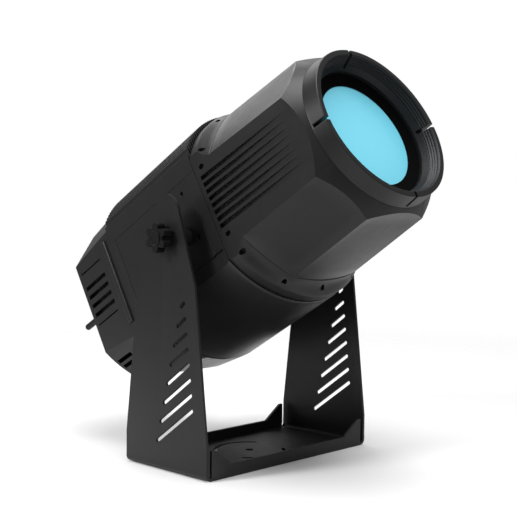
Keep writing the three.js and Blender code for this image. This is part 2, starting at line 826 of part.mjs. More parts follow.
function louvres() {
  const reach = bodyHalfWidth + ribThickness + overrun;
  const z0 = capRear + louvreInset;
  const slit = (height, size) => box(-reach, reach, height - size / 2, height + size / 2, z0, z0 + louvreLength);
  const deep = Array.from({ length: louvreCount }, (_, i) => slit(louvreTop - louvrePitch * i, louvreHeight));
  const start = capRear + lowLouvreInset;
  const angles = [lowLouvreAngle, lowLouvreAngle + lowLouvreStep].flatMap((angle) => [half + angle, -angle]);
  const low = angles.map((angle) => box(capRearRadius - capWall * 2, bodyRadius + overrun,
    -louvreHeight / 2, louvreHeight / 2, start, start + lowLouvreLength).rotateZ(angle));
  return [...deep, slit(slitTop, louvreSlit), slit(slitBottom, louvreSlit), ...low];
}

function capSolid() {
  const ribFront = capFront - ribInset;
  const reach = bodyHalfWidth + ribThickness;
  const ribs = [-1, 1].map((side) => {
    const x = [side * (capRearHalf - capWall / 2), side * reach].sort((a, b) => a - b);
    return box(...x, ribBottom, capRearHeight, ribFront - ribWidth, ribFront);
  });
  return cut(join(capBody(0, capRear, capFront), ...ribs), capBody(capWall, capRear + capWall, capFront + overrun),
    ...louvres(), rod(stubStemRadius + gap, capRear - overrun, capRear + capWall * 2, stubX, stubHeight),
    rod(glandStemRadius + gap, capRear - overrun, capRear + capWall * 2, glandX, glandHeight));
}

function stubSolid() {
  const foot = capRear - gap;
  const tip = foot - stubLength + stubRadius;
  const dome = arc(stubRadius, -quarter, 0, arcSteps, 0, tip);
  return turned([...dome, [stubRadius, foot - stubFootHeight], [stubFootRadius, foot - stubFootHeight],
    [stubFootRadius, foot], [stubStemRadius, foot], [stubStemRadius, capRear + capWall + gap],
    [0, capRear + capWall + gap]], smallSides);
}

function glandSolid() {
  const foot = capRear - gap;
  const nut = foot - glandNutHeight;
  return turned([[glandBore, nut - glandCapHeight], [glandCapRadius - overrun, nut - glandCapHeight],
    [glandCapRadius, nut], [glandRadius, nut], [glandRadius, foot], [glandStemRadius, foot],
    [glandStemRadius, capRear + capWall + overrun], [glandBore, capRear + capWall + overrun]], smallSides);
}

// Chassis plate that carries the light engine and the optics
function chassisSolid() {
  const outline = [[chassisHalfWidth, chassisRear], [chassisHalfWidth, chassisWideFront],
    [tongueHalfWidth, chassisWideFront], [tongueHalfWidth, tongueFront]];
  const mirrored = outline.map(([x, z]) => [-x, z]).reverse();
  return frontPrism([...outline, ...mirrored], chassisHeight, chassisTop);
}

function spreaderSolid() {
  const plate = box(-spreaderHalfWidth, spreaderHalfWidth, deck, trayUnderside - gap,
    spreaderAlong, spreaderAlong + spreaderThickness);
  const run = 2 * spreaderHalfWidth - spreaderFinThickness;
  const fins = Array.from({ length: spreaderFinCount }, (_, i) => {
    const x = run * i / (spreaderFinCount - 1) - spreaderHalfWidth;
    return box(x, x + spreaderFinThickness, -spreaderFinHalfHeight, spreaderFinHalfHeight,
      spreaderAlong - spreaderFinLength, spreaderAlong + overrun);
  });
  return join(plate, ...fins);
}

function ledSolid() {
  const rear = spreaderAlong + spreaderThickness + gap;
  const front = rear + ledThickness;
  return join(box(-ledHalfSize, ledHalfSize, -ledHalfSize, ledHalfSize, rear, front),
    rod(emitterRadius, front - overrun, front + emitterHeight, 0, 0, roundSides));
}

function condenserTubeSolid() {
  const inner = tubeRadius - tubeWall;
  const end = tubeAlong + tubeLength;
  const tube = turned([[inner - tubeLip, tubeAlong], [tubeRadius, tubeAlong], [tubeRadius, end], [inner, end],
    [inner, tubeAlong + tubeLipDepth], [inner - tubeLip, tubeAlong + tubeLipDepth]]);
  const foot = box(-tubeFootHalfWidth, tubeFootHalfWidth, deck, -inner - tubeWall / 2, tubeAlong, end);
  return join(tube, foot);
}

function condenserLensSolid() {
  const rear = tubeAlong + tubeLipDepth + gap;
  return lens(tubeRadius - tubeWall - gap, tubeRadius - tubeWall - tubeLip, rear, rear + condenserEdge, 0, condenserBelly);
}

// Gobo stage with the toothed ring that turns in it
function stageSolid() {
  const x = centreDistance * Math.cos(meshAngle);
  const y = centreDistance * Math.sin(meshAngle);
  const rear = stageAlong - overrun;
  const front = stageFront + overrun;
  return cut(box(-stageHalfWidth, stageHalfWidth, deck, stageTop, stageAlong, stageFront),
    rod(hubRadius + runningGap, rear, front, 0, 0, fineSides),
    rod(pinionShaftRadius + runningGap, rear, front, x, y),
    rod(screwJournal + runningGap, rear, front, 0, rodHeight),
    rod(rodRadius + gap, rear, front, rodX, rodHeight), rod(rodRadius + gap, rear, front, -rodX, rodHeight));
}

function gearOutline(teeth, phase) {
  const pitchRadius = gearModule * teeth / 2;
  const tip = pitchRadius + gearModule * addendumShare;
  const root = pitchRadius - gearModule * dedendumShare;
  const step = 2 * half / teeth;
  return Array.from({ length: teeth }, (_, i) => phase + step * i).flatMap((middle) => [
    [root, -toothRootShare], [tip, -toothTipShare], [tip, toothTipShare], [root, toothRootShare],
  ].map(([radius, share]) => {
    const angle = middle + share * step / 2;
    return [radius * Math.cos(angle), radius * Math.sin(angle)];
  }));
}

function ringGearSolid() {
  const rear = stageFront + gap;
  const front = rear + gearWidth;
  const bore = goboRadius - goboSeatLip;
  return cut(join(prism(gearOutline(gearTeeth, meshAngle), rear, front),
    rod(hubRadius, stageAlong, rear + overrun, 0, 0, fineSides)),
  rod(bore, stageAlong - overrun, front + overrun, 0, 0, roundSides),
  rod(goboRadius + gap, front - goboThickness - gap, front + overrun, 0, 0, roundSides));
}

function goboSolid() {
  const front = stageFront + gap + gearWidth;
  const circle = (radius, x, y) => arc(radius, 0, 2 * half, smallSides, x, y).slice(0, -1);
  const petals = arc(goboPetalOrbit, 0, 2 * half, goboPetals).slice(0, -1);
  const outline = arc(goboRadius, 0, 2 * half, roundSides).slice(0, -1);
  return prism(outline, front - goboThickness, front,
    [circle(goboSpotRadius, 0, 0), ...petals.map(([x, y]) => circle(goboPetalRadius, x, y))]);
}

function pinionSolid() {
  const rear = stageFront + gap;
  const phase = half + half / pinionTeeth;
  return join(prism(gearOutline(pinionTeeth, phase), rear, rear + gearWidth),
    rod(pinionShaftRadius, stageAlong - pinionShaftReach, rear + overrun));
}

function motorSolid(length, boreRadius, boreDepth) {
  const side = motorSize / 2;
  const face = stageAlong - gap;
  return cut(box(-side, side, -side, side, face - length, face),
    rod(boreRadius + runningGap, face - boreDepth, face + overrun));
}

// Focus carriage, its rods, screw and front bracket
function carriageSolid() {
  const front = carriageAlong + carriageThickness;
  const cellRear = (carriageAlong + front - cellLength) / 2;
  const inner = cellRadius - cellWall;
  const lip = inner - cellLip;
  const width = stageHalfWidth;
  const cell = turned([[lip, cellRear], [cellRadius, cellRear], [cellRadius, cellRear + cellLength],
    [inner, cellRear + cellLength], [inner, cellRear + cellLip], [lip, cellRear + cellLip]]);
  const post = box(-tubeFootHalfWidth * 2, tubeFootHalfWidth * 2, carriageTop - overrun, -inner - cellWall / 2,
    carriageAlong, front);
  const bar = box(-width, width, deck + runningGap, carriageTop, carriageAlong, front);
  return cut(join(cell, post, bar), rod(screwRadius + runningGap, carriageAlong - overrun, front + overrun, 0, rodHeight),
    ...[-rodX, rodX].map((x) => rod(rodRadius + runningGap, carriageAlong - overrun, front + overrun, x, rodHeight)));
}

function focusLensSolid() {
  const cellRear = carriageAlong + (carriageThickness - cellLength) / 2;
  const rear = cellRear + cellLip + gap;
  return lens(cellRadius - cellWall - gap, cellRadius - cellWall - cellLip, rear, rear + focusLensEdge, 0, focusLensBelly);
}

function focusScrewSolid() {
  const start = stageFront + gap;
  const end = bracketAlong - gap;
  return join(rod(screwRadius, start, end),
    rod(screwJournal, stageAlong - focusShaftReach, bracketAlong + bracketThickness));
}

function bracketSolid() {
  const end = bracketAlong + bracketThickness;
  return cut(box(-tongueHalfWidth, tongueHalfWidth, deck, bracketTop, bracketAlong, end),
    rod(screwJournal + runningGap, bracketAlong - overrun, end + overrun, 0, rodHeight),
    ...[-rodX, rodX].map((x) => rod(rodRadius + gap, bracketAlong - overrun, end + overrun, x, rodHeight)));
}

// Fan behind the heat spreader
function fanFrameSolid() {
  const front = fanRear + fanDepth;
  const s = fanHalfSize;
  const ring = cut(box(-s, s, -s, s, fanRear, front),
    rod(fanBore, fanRear - overrun, front + overrun, 0, 0, roundSides));
  const w = fanSpiderWidth / 2;
  const spider = join(box(-s + overrun, s - overrun, -w, w, fanRear, fanRear + fanSpiderDepth),
    box(-w, w, -s + overrun, s - overrun, fanRear, fanRear + fanSpiderDepth),
    rod(fanHubRadius, fanRear, fanRear + fanSpiderDepth, 0, 0, roundSides));
  return join(ring, spider, rod(fanPinRadius, fanRear + overrun, fanRear + fanSpiderDepth + fanPinLength));
}

function fanRotorSolid() {
  const rear = fanRear + fanSpiderDepth + gap;
  const front = fanRear + fanDepth - gap;
  const hub = rod(fanHubRadius, rear, front, 0, 0, roundSides);
  const blades = Array.from({ length: fanBladeCount }, (_, i) => {
    const blade = box(fanHubRadius / 2, fanBladeRadius, -fanBladeChord / 2, fanBladeChord / 2,
      -fanBladeThickness / 2, fanBladeThickness / 2);
    return blade.rotateX(fanBladePitch).translate(0, 0, (rear + front) / 2).rotateZ(2 * half * i / fanBladeCount);
  });
  return cut(join(hub, ...blades),
    rod(fanPinRadius + runningGap, rear - overrun, fanRear + fanSpiderDepth + fanPinLength + gap));
}

function boardSolid() {
  const x = boardX - boardThickness / 2;
  const sheet = box(x, x + boardThickness, deck, deck + boardHeight, boardRear, boardRear + boardLength);
  const relays = [0, 1, 2].map((i) => {
    const y = deck + boardHeight / 2;
    const z = boardRear + relayLength / 2 + (relayLength + relayDepth) * i;
    return box(x - relayDepth, x + overrun / 2, y, y + relayHeight, z, z + relayLength);
  });
  return join(sheet, ...relays);
}

const projector = new THREE.Group();
piece(projector, 'yoke', yokeSolid(), coat);
for (const [side, turn] of [['left', half], ['right', 0]]) {
  const hardware = new THREE.Group();
  hardware.position.z = pivotHeight;
  hardware.rotation.z = turn;
  projector.add(hardware);
  piece(hardware, `${side}_knob`, knobSolid(), blackPlastic);
  piece(hardware, `${side}_friction_washer`, washerSolid(), blackPlastic);
}

const head = new THREE.Group();
head.rotation.x = quarter - tiltAngle;
head.position.set(0, beamRise * Math.sin(tiltAngle), pivotHeight + beamRise * Math.cos(tiltAngle));
projector.add(head);
piece(head, 'body_housing', bodySolid(), coat);
piece(head, 'top_heatsink', heatsinkSolid(), coat);
piece(head, 'left_side_cover', coverSolid(-1), coat);
piece(head, 'right_side_cover', coverSolid(1), coat);
piece(head, 'left_pivot_boss', bossSolid(), coat).scale.x = -1;
piece(head, 'right_pivot_boss', bossSolid(), coat);
piece(head, 'barrel_housing', barrelSolid(), coat);

screwSeats().forEach(([angle, distance, height, along], i) => {
  const solid = screw(collarScrewHead, collarScrewHeadHeight, collarScrewShank, collarScrewLength);
  const seat = distance - collarScrewRecess + collarScrewHeadHeight + gap;
  const place = outward(angle, seat, height, along);
  piece(head, `collar_screw_${String(i + 1).padStart(2, '0')}`, solid, blackSteel).applyMatrix4(place);
});

[0, half].flatMap((angle) => [coverScrewUpper, coverScrewLower].map((height) => [angle, height]))
  .forEach(([angle, height], i) => {
    const solid = screw(coverScrewHead, coverScrewHeadHeight, coverScrewShank, coverScrewLength);
    const seat = bodyHalfWidth - coverScrewRecess + coverScrewHeadHeight + gap;
    piece(head, `cover_screw_${String(i + 1).padStart(2, '0')}`, solid, blackSteel)
      .applyMatrix4(outward(angle, seat, height, coverScrewAlong));
  });

piece(head, 'hood', hoodSolid(), coat);
piece(head, 'lens_ring', lensRingSolid(), blackPlastic);
piece(head, 'front_lens', frontLensSolid(), glass);
piece(head, 'lens_gasket', gasketSolid(), rubber);
piece(head, 'rear_cap', capSolid(), coat);
piece(head, 'stub_antenna', stubSolid(), blackPlastic).position.set(stubX, stubHeight, 0);
piece(head, 'power_gland', glandSolid(), blackPlastic).position.set(glandX, glandHeight, 0);

piece(head, 'chassis_plate', chassisSolid(), aluminium);
piece(head, 'heat_spreader', spreaderSolid(), aluminium);
piece(head, 'led_module', ledSolid(), ceramic);
piece(head, 'condenser_tube', condenserTubeSolid(), blackPlastic);
piece(head, 'condenser_lens', condenserLensSolid(), glass);
piece(head, 'gobo_stage', stageSolid(), aluminium);
piece(head, 'gobo_ring_gear', ringGearSolid(), brass);
piece(head, 'gobo_disc', goboSolid(), steel);

const driveX = centreDistance * Math.cos(meshAngle);
const driveY = centreDistance * Math.sin(meshAngle);
const pinion = piece(head, 'gobo_pinion', pinionSolid(), brass);
pinion.position.set(driveX, driveY, 0);
pinion.rotation.z = meshAngle;
const goboMotor = piece(head, 'gobo_motor', motorSolid(motorLength, pinionShaftRadius, pinionShaftReach), blackSteel);
goboMotor.position.set(driveX, driveY, 0);
const focusMotor = piece(head, 'focus_motor', motorSolid(focusMotorLength, screwJournal, focusShaftReach), blackSteel);
focusMotor.position.y = rodHeight;

piece(head, 'focus_carriage', carriageSolid(), blackPlastic);
piece(head, 'focus_lens', focusLensSolid(), glass);
piece(head, 'focus_screw', focusScrewSolid(), steel).position.y = rodHeight;
const guideRod = () => rod(rodRadius, stageAlong, bracketAlong + bracketThickness);
piece(head, 'guide_rod_left', guideRod(), steel).position.set(-rodX, rodHeight, 0);
piece(head, 'guide_rod_right', guideRod(), steel).position.set(rodX, rodHeight, 0);
piece(head, 'front_bracket', bracketSolid(), aluminium);

piece(head, 'fan_frame', fanFrameSolid(), blackPlastic);
piece(head, 'fan_rotor', fanRotorSolid(), blackPlastic);
piece(head, 'driver_box', box(-driverHalfWidth, driverHalfWidth, driverUnderside, chassisHeight - gap,
  driverRear, driverFront), aluminium);
piece(head, 'control_board', boardSolid(), boardGreen);

// The origin is under the middle of the bounding box
projector.updateMatrixWorld(true);
const bounds = new THREE.Box3().setFromObject(projector);
projector.position.y = -(bounds.min.y + bounds.max.y) / 2;

export default projector;
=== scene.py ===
# Outdoor gobo projector: modelled casings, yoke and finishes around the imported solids.
import json
from math import acos, atan2, cos, hypot, pi, radians, sin, tan

import bpy
from mathutils import Matrix, Vector


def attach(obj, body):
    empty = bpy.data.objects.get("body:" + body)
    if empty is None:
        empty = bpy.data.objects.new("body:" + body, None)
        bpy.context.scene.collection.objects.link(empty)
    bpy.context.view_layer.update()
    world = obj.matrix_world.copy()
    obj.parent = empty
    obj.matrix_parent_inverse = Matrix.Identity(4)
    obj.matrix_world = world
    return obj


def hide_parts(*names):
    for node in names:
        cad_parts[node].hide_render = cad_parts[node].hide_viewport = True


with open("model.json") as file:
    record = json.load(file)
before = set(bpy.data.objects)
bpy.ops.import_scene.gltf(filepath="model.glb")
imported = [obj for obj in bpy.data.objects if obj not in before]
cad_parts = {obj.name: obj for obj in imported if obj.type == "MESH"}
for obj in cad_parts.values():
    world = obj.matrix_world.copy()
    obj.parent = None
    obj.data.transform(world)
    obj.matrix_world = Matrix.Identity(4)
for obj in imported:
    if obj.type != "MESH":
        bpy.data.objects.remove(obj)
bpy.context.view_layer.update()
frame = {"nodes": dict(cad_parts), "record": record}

QUARTER = pi / 2
MILLIMETRE = 0.001

# Places: shapes are modelled in millimetres, either in the row's frame or along the beam
GROUP_SHIFT = 7.915888
PIVOT_HEIGHT = 349
BEAM_RISE = 12
TILT = radians(31)
ROW = Matrix.Scale(MILLIMETRE, 4) @ Matrix.Translation((0, GROUP_SHIFT, 0))
HEAD = (ROW @ Matrix.Translation((0, BEAM_RISE * sin(TILT), PIVOT_HEIGHT + BEAM_RISE * cos(TILT)))
        @ Matrix.Rotation(QUARTER - TILT, 4, "X"))
AXLE = ROW @ Matrix.Translation((0, 0, PIVOT_HEIGHT))

# Camera, as fitted to the photograph
CAMERA_PLACE = (-1.2748, -1.255284, 0.4256)
CAMERA_AZIMUTH = radians(45.63)
CAMERA_DROP = radians(3.644)
CAMERA_ROLL = radians(0.522)
CAMERA_LENS = 78.89


def add_camera():
    """The camera that stands where the photograph was taken."""
    forward = Vector((sin(CAMERA_AZIMUTH) * cos(CAMERA_DROP), cos(CAMERA_AZIMUTH) * cos(CAMERA_DROP),
                      -sin(CAMERA_DROP)))
    level = forward.cross(Vector((0, 0, 1))).normalized()
    upright = level.cross(forward)
    right = level * cos(CAMERA_ROLL) + upright * sin(CAMERA_ROLL)
    up = upright * cos(CAMERA_ROLL) - level * sin(CAMERA_ROLL)
    data = bpy.data.cameras.new("camera")
    data.lens = CAMERA_LENS
    camera = bpy.data.objects.new("camera", data)
    turn = Matrix((right, up, -forward)).transposed().to_4x4()
    camera.matrix_world = Matrix.Translation(CAMERA_PLACE) @ turn
    bpy.context.scene.collection.objects.link(camera)
    bpy.context.scene.camera = camera


def add_softbox(name, place, aim, size, watts):
    """A round soft lamp aimed at a point."""
    data = bpy.data.lights.new(name, "AREA")
    data.shape = "DISK"
    data.size = size
    data.energy = watts
    lamp = bpy.data.objects.new(name, data)
    lamp.location = place
    lamp.rotation_euler = (Vector(aim) - Vector(place)).to_track_quat("-Z", "Y").to_euler()
    bpy.context.scene.collection.objects.link(lamp)


# Shader maths
class Value:
    """A number that varies over a surface; sums of such numbers add Math nodes."""

    def __init__(self, tree, socket):
        self.tree = tree
        self.socket = socket

    def maths(self, operation, *terms):
        node = self.tree.nodes.new("ShaderNodeMath")
        node.operation = operation
        for slot, term in zip(node.inputs, terms):
            if isinstance(term, Value):
                self.tree.links.new(term.socket, slot)
            else:
                slot.default_value = term
        return Value(self.tree, node.outputs[0])

    def __add__(self, other):
        return self.maths("ADD", self, other)

    def __sub__(self, other):
        return self.maths("SUBTRACT", self, other)

    def __rsub__(self, other):
        return self.maths("SUBTRACT", other, self)

    def __mul__(self, other):
        return self.maths("MULTIPLY", self, other)

    def __truediv__(self, other):
        return self.maths("DIVIDE", self, other)

    def __pow__(self, other):
        return self.maths("POWER", self, other)

    def clipped(self):
        return self.maths("MINIMUM", self.maths("MAXIMUM", self, 0.0), 1.0)

    __radd__ = __add__
    __rmul__ = __mul__


class Finish:
    """A material whose constants sit on the shader and whose detail comes from nodes."""

    def __init__(self, name, **constants):
        self.material = bpy.data.materials.new(name)
        self.material.use_nodes = True
        self.tree = self.material.node_tree
        self.shader = self.tree.nodes["Principled BSDF"]
        for socket, value in constants.items():
            self.shader.inputs[socket.replace("_", " ")].default_value = value
        self.place = self.node("TexCoord").outputs["Object"]

    def node(self, kind, settings=(), **sockets):
        made = self.tree.nodes.new("ShaderNode" + kind)
        for name, value in dict(settings).items():
            setattr(made, name, value)
        for name, value in sockets.items():
            self.feed(made.inputs[name.replace("_", " ")], value)
        return made

    def feed(self, socket, value):
        if isinstance(value, Value):
            self.tree.links.new(value.socket, socket)
        elif isinstance(value, bpy.types.NodeSocket):
            self.tree.links.new(value, socket)
        else:
            socket.default_value = value

    def noise(self, scale, detail, stretch=(1, 1, 1)):
        place = self.node("Mapping", Vector=self.place, Scale=stretch).outputs[0]
        texture = self.node("TexNoise", Vector=place, Scale=scale, Detail=detail)
        return Value(self.tree, texture.outputs[0])

    def cells(self, scale):
        texture = self.node("TexVoronoi", Vector=self.place, Scale=scale)
        return Value(self.tree, texture.outputs["Distance"])

    def edges(self, start, end):
        """Where an edge stands out: 1 on sharp outer edges, 0 on flats and in corners."""
        pointed = self.node("NewGeometry").outputs["Pointiness"]
        ranged = self.node("MapRange", {"clamp": True}, Value=pointed, From_Min=start, From_Max=end)
        return Value(self.tree, ranged.outputs[0])

    def mixed(self, amount, low, high):
        mix = self.node("Mix", {"data_type": "RGBA"})
        self.feed(mix.inputs[0], amount)
        self.feed(mix.inputs[6], low)
        self.feed(mix.inputs[7], high)
        return mix.outputs[2]

    def colour(self, value):
        self.feed(self.shader.inputs["Base Color"], value)

    def roughness(self, value):
        self.feed(self.shader.inputs["Roughness"], value)

    def relief(self, height, depth):
        bump = self.node("Bump", Height=height, Distance=depth)
        self.feed(self.shader.inputs["Normal"], bump.outputs[0])


def rgb(red, green, blue):
    return (red, green, blue, 1.0)


def toned(tone, share):
    """A colour made darker or lighter."""
    return rgb(*[min(1, part * share) for part in tone])


def powder_coat(name, shade, tint, gloss, grain):
    """Matte black powder coat: fine orange peel, dust in the tone, a slight rub on the edges."""
    coat = Finish(name, Specular_IOR_Level=0.3)
    dust = coat.noise(9, 4)
    speckle = coat.noise(420, 2)
    rub = coat.edges(0.52, 0.62)
    low = toned(tint, shade * 0.82)
    high = toned(tint, shade * 1.18)
    base = coat.mixed((dust * 0.7 + speckle * 0.3).clipped(), low, high)
    coat.colour(coat.mixed(rub * 0.35, base, toned(tint, shade * 3.2)))
    coat.roughness(gloss + coat.noise(60, 3) * 0.1 + speckle * 0.06 - rub * 0.08)
    coat.relief(coat.noise(grain, 2) * 0.7 + coat.cells(grain * 0.6) * 0.3, 0.00012)
    return coat.material


def moulded(name, shade, gloss, grain, shine=0.3):
    """Moulded plastic: spark-eroded grain, faint flow marks."""
    plastic = Finish(name, Specular_IOR_Level=shine)
    flow = plastic.noise(35, 3, (1, 1, 3))
    plastic.colour(plastic.mixed(flow, toned(shade, 0.8), toned(shade, 1.25)))
    plastic.roughness(gloss + flow * 0.12)
    plastic.relief(plastic.cells(grain), 0.00008)
    return plastic.material


def metal(name, tone, gloss, stretch, grain):
    """Bare metal with the fine lines of its last tool."""
    bare = Finish(name, Metallic=1.0)
    lines = bare.noise(grain, 3, stretch)
    stain = bare.noise(28, 4)
    bare.colour(bare.mixed(stain, toned(tone, 0.85), toned(tone, 1.1)))
    bare.roughness(gloss + lines * 0.16)
    bare.relief(lines, 0.00005)
    return bare.material


def coated_lens():
    """The front glass: a flat cyan coating that deepens slightly to the rim, with a trace of dust, and a
    faint painted glow in its own tone.
    """
    glass = Finish("coated lens with painted glow", Specular_IOR_Level=0.25, Coat_Weight=0.15, Coat_Roughness=0.04)
    middle = 270
    edge = 0.083
    away = glass.node("VectorMath", {"operation": "DISTANCE"})
    glass.feed(away.inputs[0], glass.place)
    away.inputs[1].default_value = HEAD @ Vector((0, 0, middle))
    rim = Value(glass.tree, away.outputs["Value"]) / edge
    tone = glass.mixed((rim ** 3.0).clipped(), rgb(0.165, 0.560, 0.700), rgb(0.150, 0.530, 0.670))
    glass.colour(tone)
    # Painted glow: the glass gives off light in its own tone, though it is no lamp
    glass.feed(glass.shader.inputs["Emission Color"], tone)
    glass.shader.inputs["Emission Strength"].default_value = 0.25
    glass.roughness(0.12 + glass.noise(140, 4) * 0.08)
    glass.relief(glass.noise(30, 1), 0.00002)
    return glass.material


def clear_glass():
    """Plain glass of the lenses inside."""
    glass = Finish("clear glass", Transmission_Weight=0.9, IOR=1.5)
    glass.colour(glass.mixed(glass.noise(25, 2), rgb(0.82, 0.92, 0.93), rgb(0.95, 0.98, 0.98)))
    glass.roughness(0.02 + glass.noise(200, 3) * 0.04)
    return glass.material


def circuit_board():
    """Green solder mask over crossing tracks."""
    board = Finish("solder mask", Specular_IOR_Level=0.5)
    tracks = board.noise(90, 1, (1, 1, 8))
    across = board.noise(90, 1, (1, 8, 1))
    copper = ((tracks + across - 1.08) * 14.0).clipped()
    board.colour(board.mixed(copper, rgb(0.012, 0.085, 0.035), rgb(0.03, 0.17, 0.07)))
    board.roughness(0.28 + copper * 0.1)
    board.relief(copper, 0.00004)
    return board.material


NEUTRAL = (1.0, 1.0, 1.02)
# Tint of the painted lens reflection inside the hood
LENS_REFLECTION_TINT = (0.85, 1.0, 1.18)

FINISHES = {
    "coat": powder_coat("sheet powder coat", shade=0.0055, tint=NEUTRAL, gloss=0.36, grain=1100),
    "casting": powder_coat("cast powder coat", shade=0.0060, tint=NEUTRAL, gloss=0.32, grain=900),
    # The hood's inner face: a lighter, bluish coat that is a painted reflection of the lens
    "hood painted reflection": powder_coat("hood painted lens reflection coat", shade=0.0100, tint=LENS_REFLECTION_TINT, gloss=0.4, grain=900),
    "ring": moulded("lens ring black", (0.0006, 0.0006, 0.0007), gloss=0.7, grain=700, shine=0.04),
    "plastic": moulded("moulded black", (0.003, 0.003, 0.003), gloss=0.34, grain=650, shine=0.2),
    "black_steel": metal("blackened steel", (0.012, 0.012, 0.013), gloss=0.4, stretch=(1, 1, 6), grain=300),
    "steel": metal("ground steel", (0.60, 0.61, 0.63), gloss=0.2, stretch=(1, 4, 4), grain=350),
    "aluminium": metal("satin aluminium", (0.70, 0.71, 0.72), gloss=0.32, stretch=(7, 1, 1), grain=260),
    "glass": clear_glass(),
    "lens": coated_lens(),
    "rubber": moulded("gasket rubber", (0.012, 0.012, 0.012), gloss=0.7, grain=900),
    "ceramic": moulded("white ceramic", (0.78, 0.76, 0.70), gloss=0.45, grain=500),
    "board": circuit_board(),
    "brass": metal("machined brass", (0.72, 0.52, 0.24), gloss=0.22, stretch=(5, 5, 1), grain=320),
}


# Modelling by hand
def only(obj):
    """Selects one object alone and makes it the active one."""
    if bpy.context.mode != "OBJECT":
        bpy.ops.object.mode_set(mode="OBJECT")
    bpy.ops.object.select_all(action="DESELECT")
    obj.select_set(True)
    bpy.context.view_layer.objects.active = obj


def opened(name):
    """Names the primitive that was just added and opens it for editing, all selected."""
    obj = bpy.context.active_object
    obj.name = obj.data.name = name
    bpy.ops.object.transform_apply()
    bpy.ops.object.mode_set(mode="EDIT")
    bpy.ops.mesh.select_all(action="SELECT")
    return obj


def closed(obj):
    """Leaves edit mode with all faces turned outward."""
    bpy.ops.mesh.select_all(action="SELECT")
    bpy.ops.mesh.normals_make_consistent(inside=False)
    bpy.ops.object.mode_set(mode="OBJECT")
    return obj


def block(name, low, high):
    """A box between two corners."""
    bpy.ops.object.select_all(action="DESELECT")
    size = [b - a for a, b in zip(low, high)]
    middle = [(a + b) / 2 for a, b in zip(low, high)]
    bpy.ops.mesh.primitive_cube_add(size=1, location=middle, scale=size)
    obj = bpy.context.active_object
    obj.name = obj.data.name = name
    bpy.ops.object.transform_apply()
    return obj


def drill(radius, x, y, z0, z1, sides=32):
    """A cylinder along Z."""
    bpy.ops.object.select_all(action="DESELECT")
    bpy.ops.mesh.primitive_cylinder_add(vertices=sides, radius=radius, depth=z1 - z0,
                                        location=(x, y, (z0 + z1) / 2))
    obj = bpy.context.active_object
    bpy.ops.object.transform_apply()
    return obj


def cross_drill(radius, x0, x1, y, z, sides=48):
    """A cylinder along X."""
    tool = drill(radius, 0, 0, x0, x1, sides)
    tool.data.transform(Matrix.Translation((0, y, z)) @ Matrix.Rotation(QUARTER, 4, "Y"))
    return tool


def drawn_out(profile):
    """Extrudes and resizes the selected hoop or disc from one (radius, height) to the next."""
    for (r0, z0), (r1, z1) in zip(profile, profile[1:]):
        bpy.ops.mesh.extrude_region_move(TRANSFORM_OT_translate={"value": (0, 0, z1 - z0)})
        bpy.ops.transform.resize(value=(r1 / r0, r1 / r0, 1), center_override=(0, 0, z1))


def turned(name, profile, sides):
    """A solid of revolution about Z: a disc is drawn out along a (radius, height) profile."""
    bpy.ops.object.select_all(action="DESELECT")
    radius, height = profile[0]
    bpy.ops.mesh.primitive_circle_add(vertices=sides, radius=radius, fill_type="NGON",
                                      location=(0, 0, height))
    obj = opened(name)
    drawn_out(profile)
    return closed(obj)


def ring(name, profile, sides):
    """A hollow ring about Z: a hoop is drawn round a closed profile and welded to its start."""
    bpy.ops.object.select_all(action="DESELECT")
    radius, height = profile[0]
    bpy.ops.mesh.primitive_circle_add(vertices=sides, radius=radius, location=(0, 0, height))
    obj = opened(name)
    drawn_out([*profile, profile[0]])
    bpy.ops.mesh.select_all(action="SELECT")
    bpy.ops.mesh.remove_doubles(threshold=0.01)
    return closed(obj)


def lofted(name, rings):
    """A disc is extruded from ring to ring, and the points of each ring are laid on its outline."""
    bpy.ops.object.select_all(action="DESELECT")
    count = len(rings[0])
    bpy.ops.mesh.primitive_circle_add(vertices=count, radius=1, fill_type="NGON", location=(0, 0, 0))
    obj = opened(name)
    for _ in rings[1:]:
        bpy.ops.mesh.extrude_region_move(TRANSFORM_OT_translate={"value": (0, 0, 1)})
    bpy.ops.object.mode_set(mode="OBJECT")
    order = sorted(obj.data.vertices, key=lambda v: (round(v.co.z), atan2(v.co.y, v.co.x) % (2 * pi)))
    for vertex, point in zip(order, [p for outline in rings for p in outline]):
        vertex.co = point
    bpy.ops.object.mode_set(mode="EDIT")
    return closed(obj)


def copied(obj, move):
    """A copy with its own mesh, moved by a matrix."""
    twin = obj.copy()
    twin.data = obj.data.copy()
    twin.data.transform(move)
    bpy.context.scene.collection.objects.link(twin)
    return twin


def bisected(obj, point, normal):
    """Cuts off what lies on the normal's side of a plane and closes the cut."""
    only(obj)
    bpy.ops.object.mode_set(mode="EDIT")
    bpy.ops.mesh.select_all(action="SELECT")
    bpy.ops.mesh.bisect(plane_co=point, plane_no=Vector(normal).normalized(), use_fill=True, clear_outer=True)
    bpy.ops.object.mode_set(mode="OBJECT")


def boolean(obj, tools, operation):
    """Joins, cuts or intersects a piece with its tools, which are then thrown away."""
    for tool in tools:
        only(obj)
        modifier = obj.modifiers.new(operation, "BOOLEAN")
        modifier.operation = operation
        modifier.solver = "EXACT"
        modifier.object = tool
        bpy.ops.object.modifier_apply(modifier=modifier.name)
        bpy.data.objects.remove(tool)


def merged(tools):
    """Several tools that don't touch, joined to one object so that they cut in one go."""
    only(tools[0])
    for tool in tools[1:]:
        tool.select_set(True)
    if len(tools) > 1:
        bpy.ops.object.join()
    return tools[0]


def cut(obj, *tools):
    boolean(obj, tools, "DIFFERENCE")


def fuse(obj, *tools):
    boolean(obj, tools, "UNION")


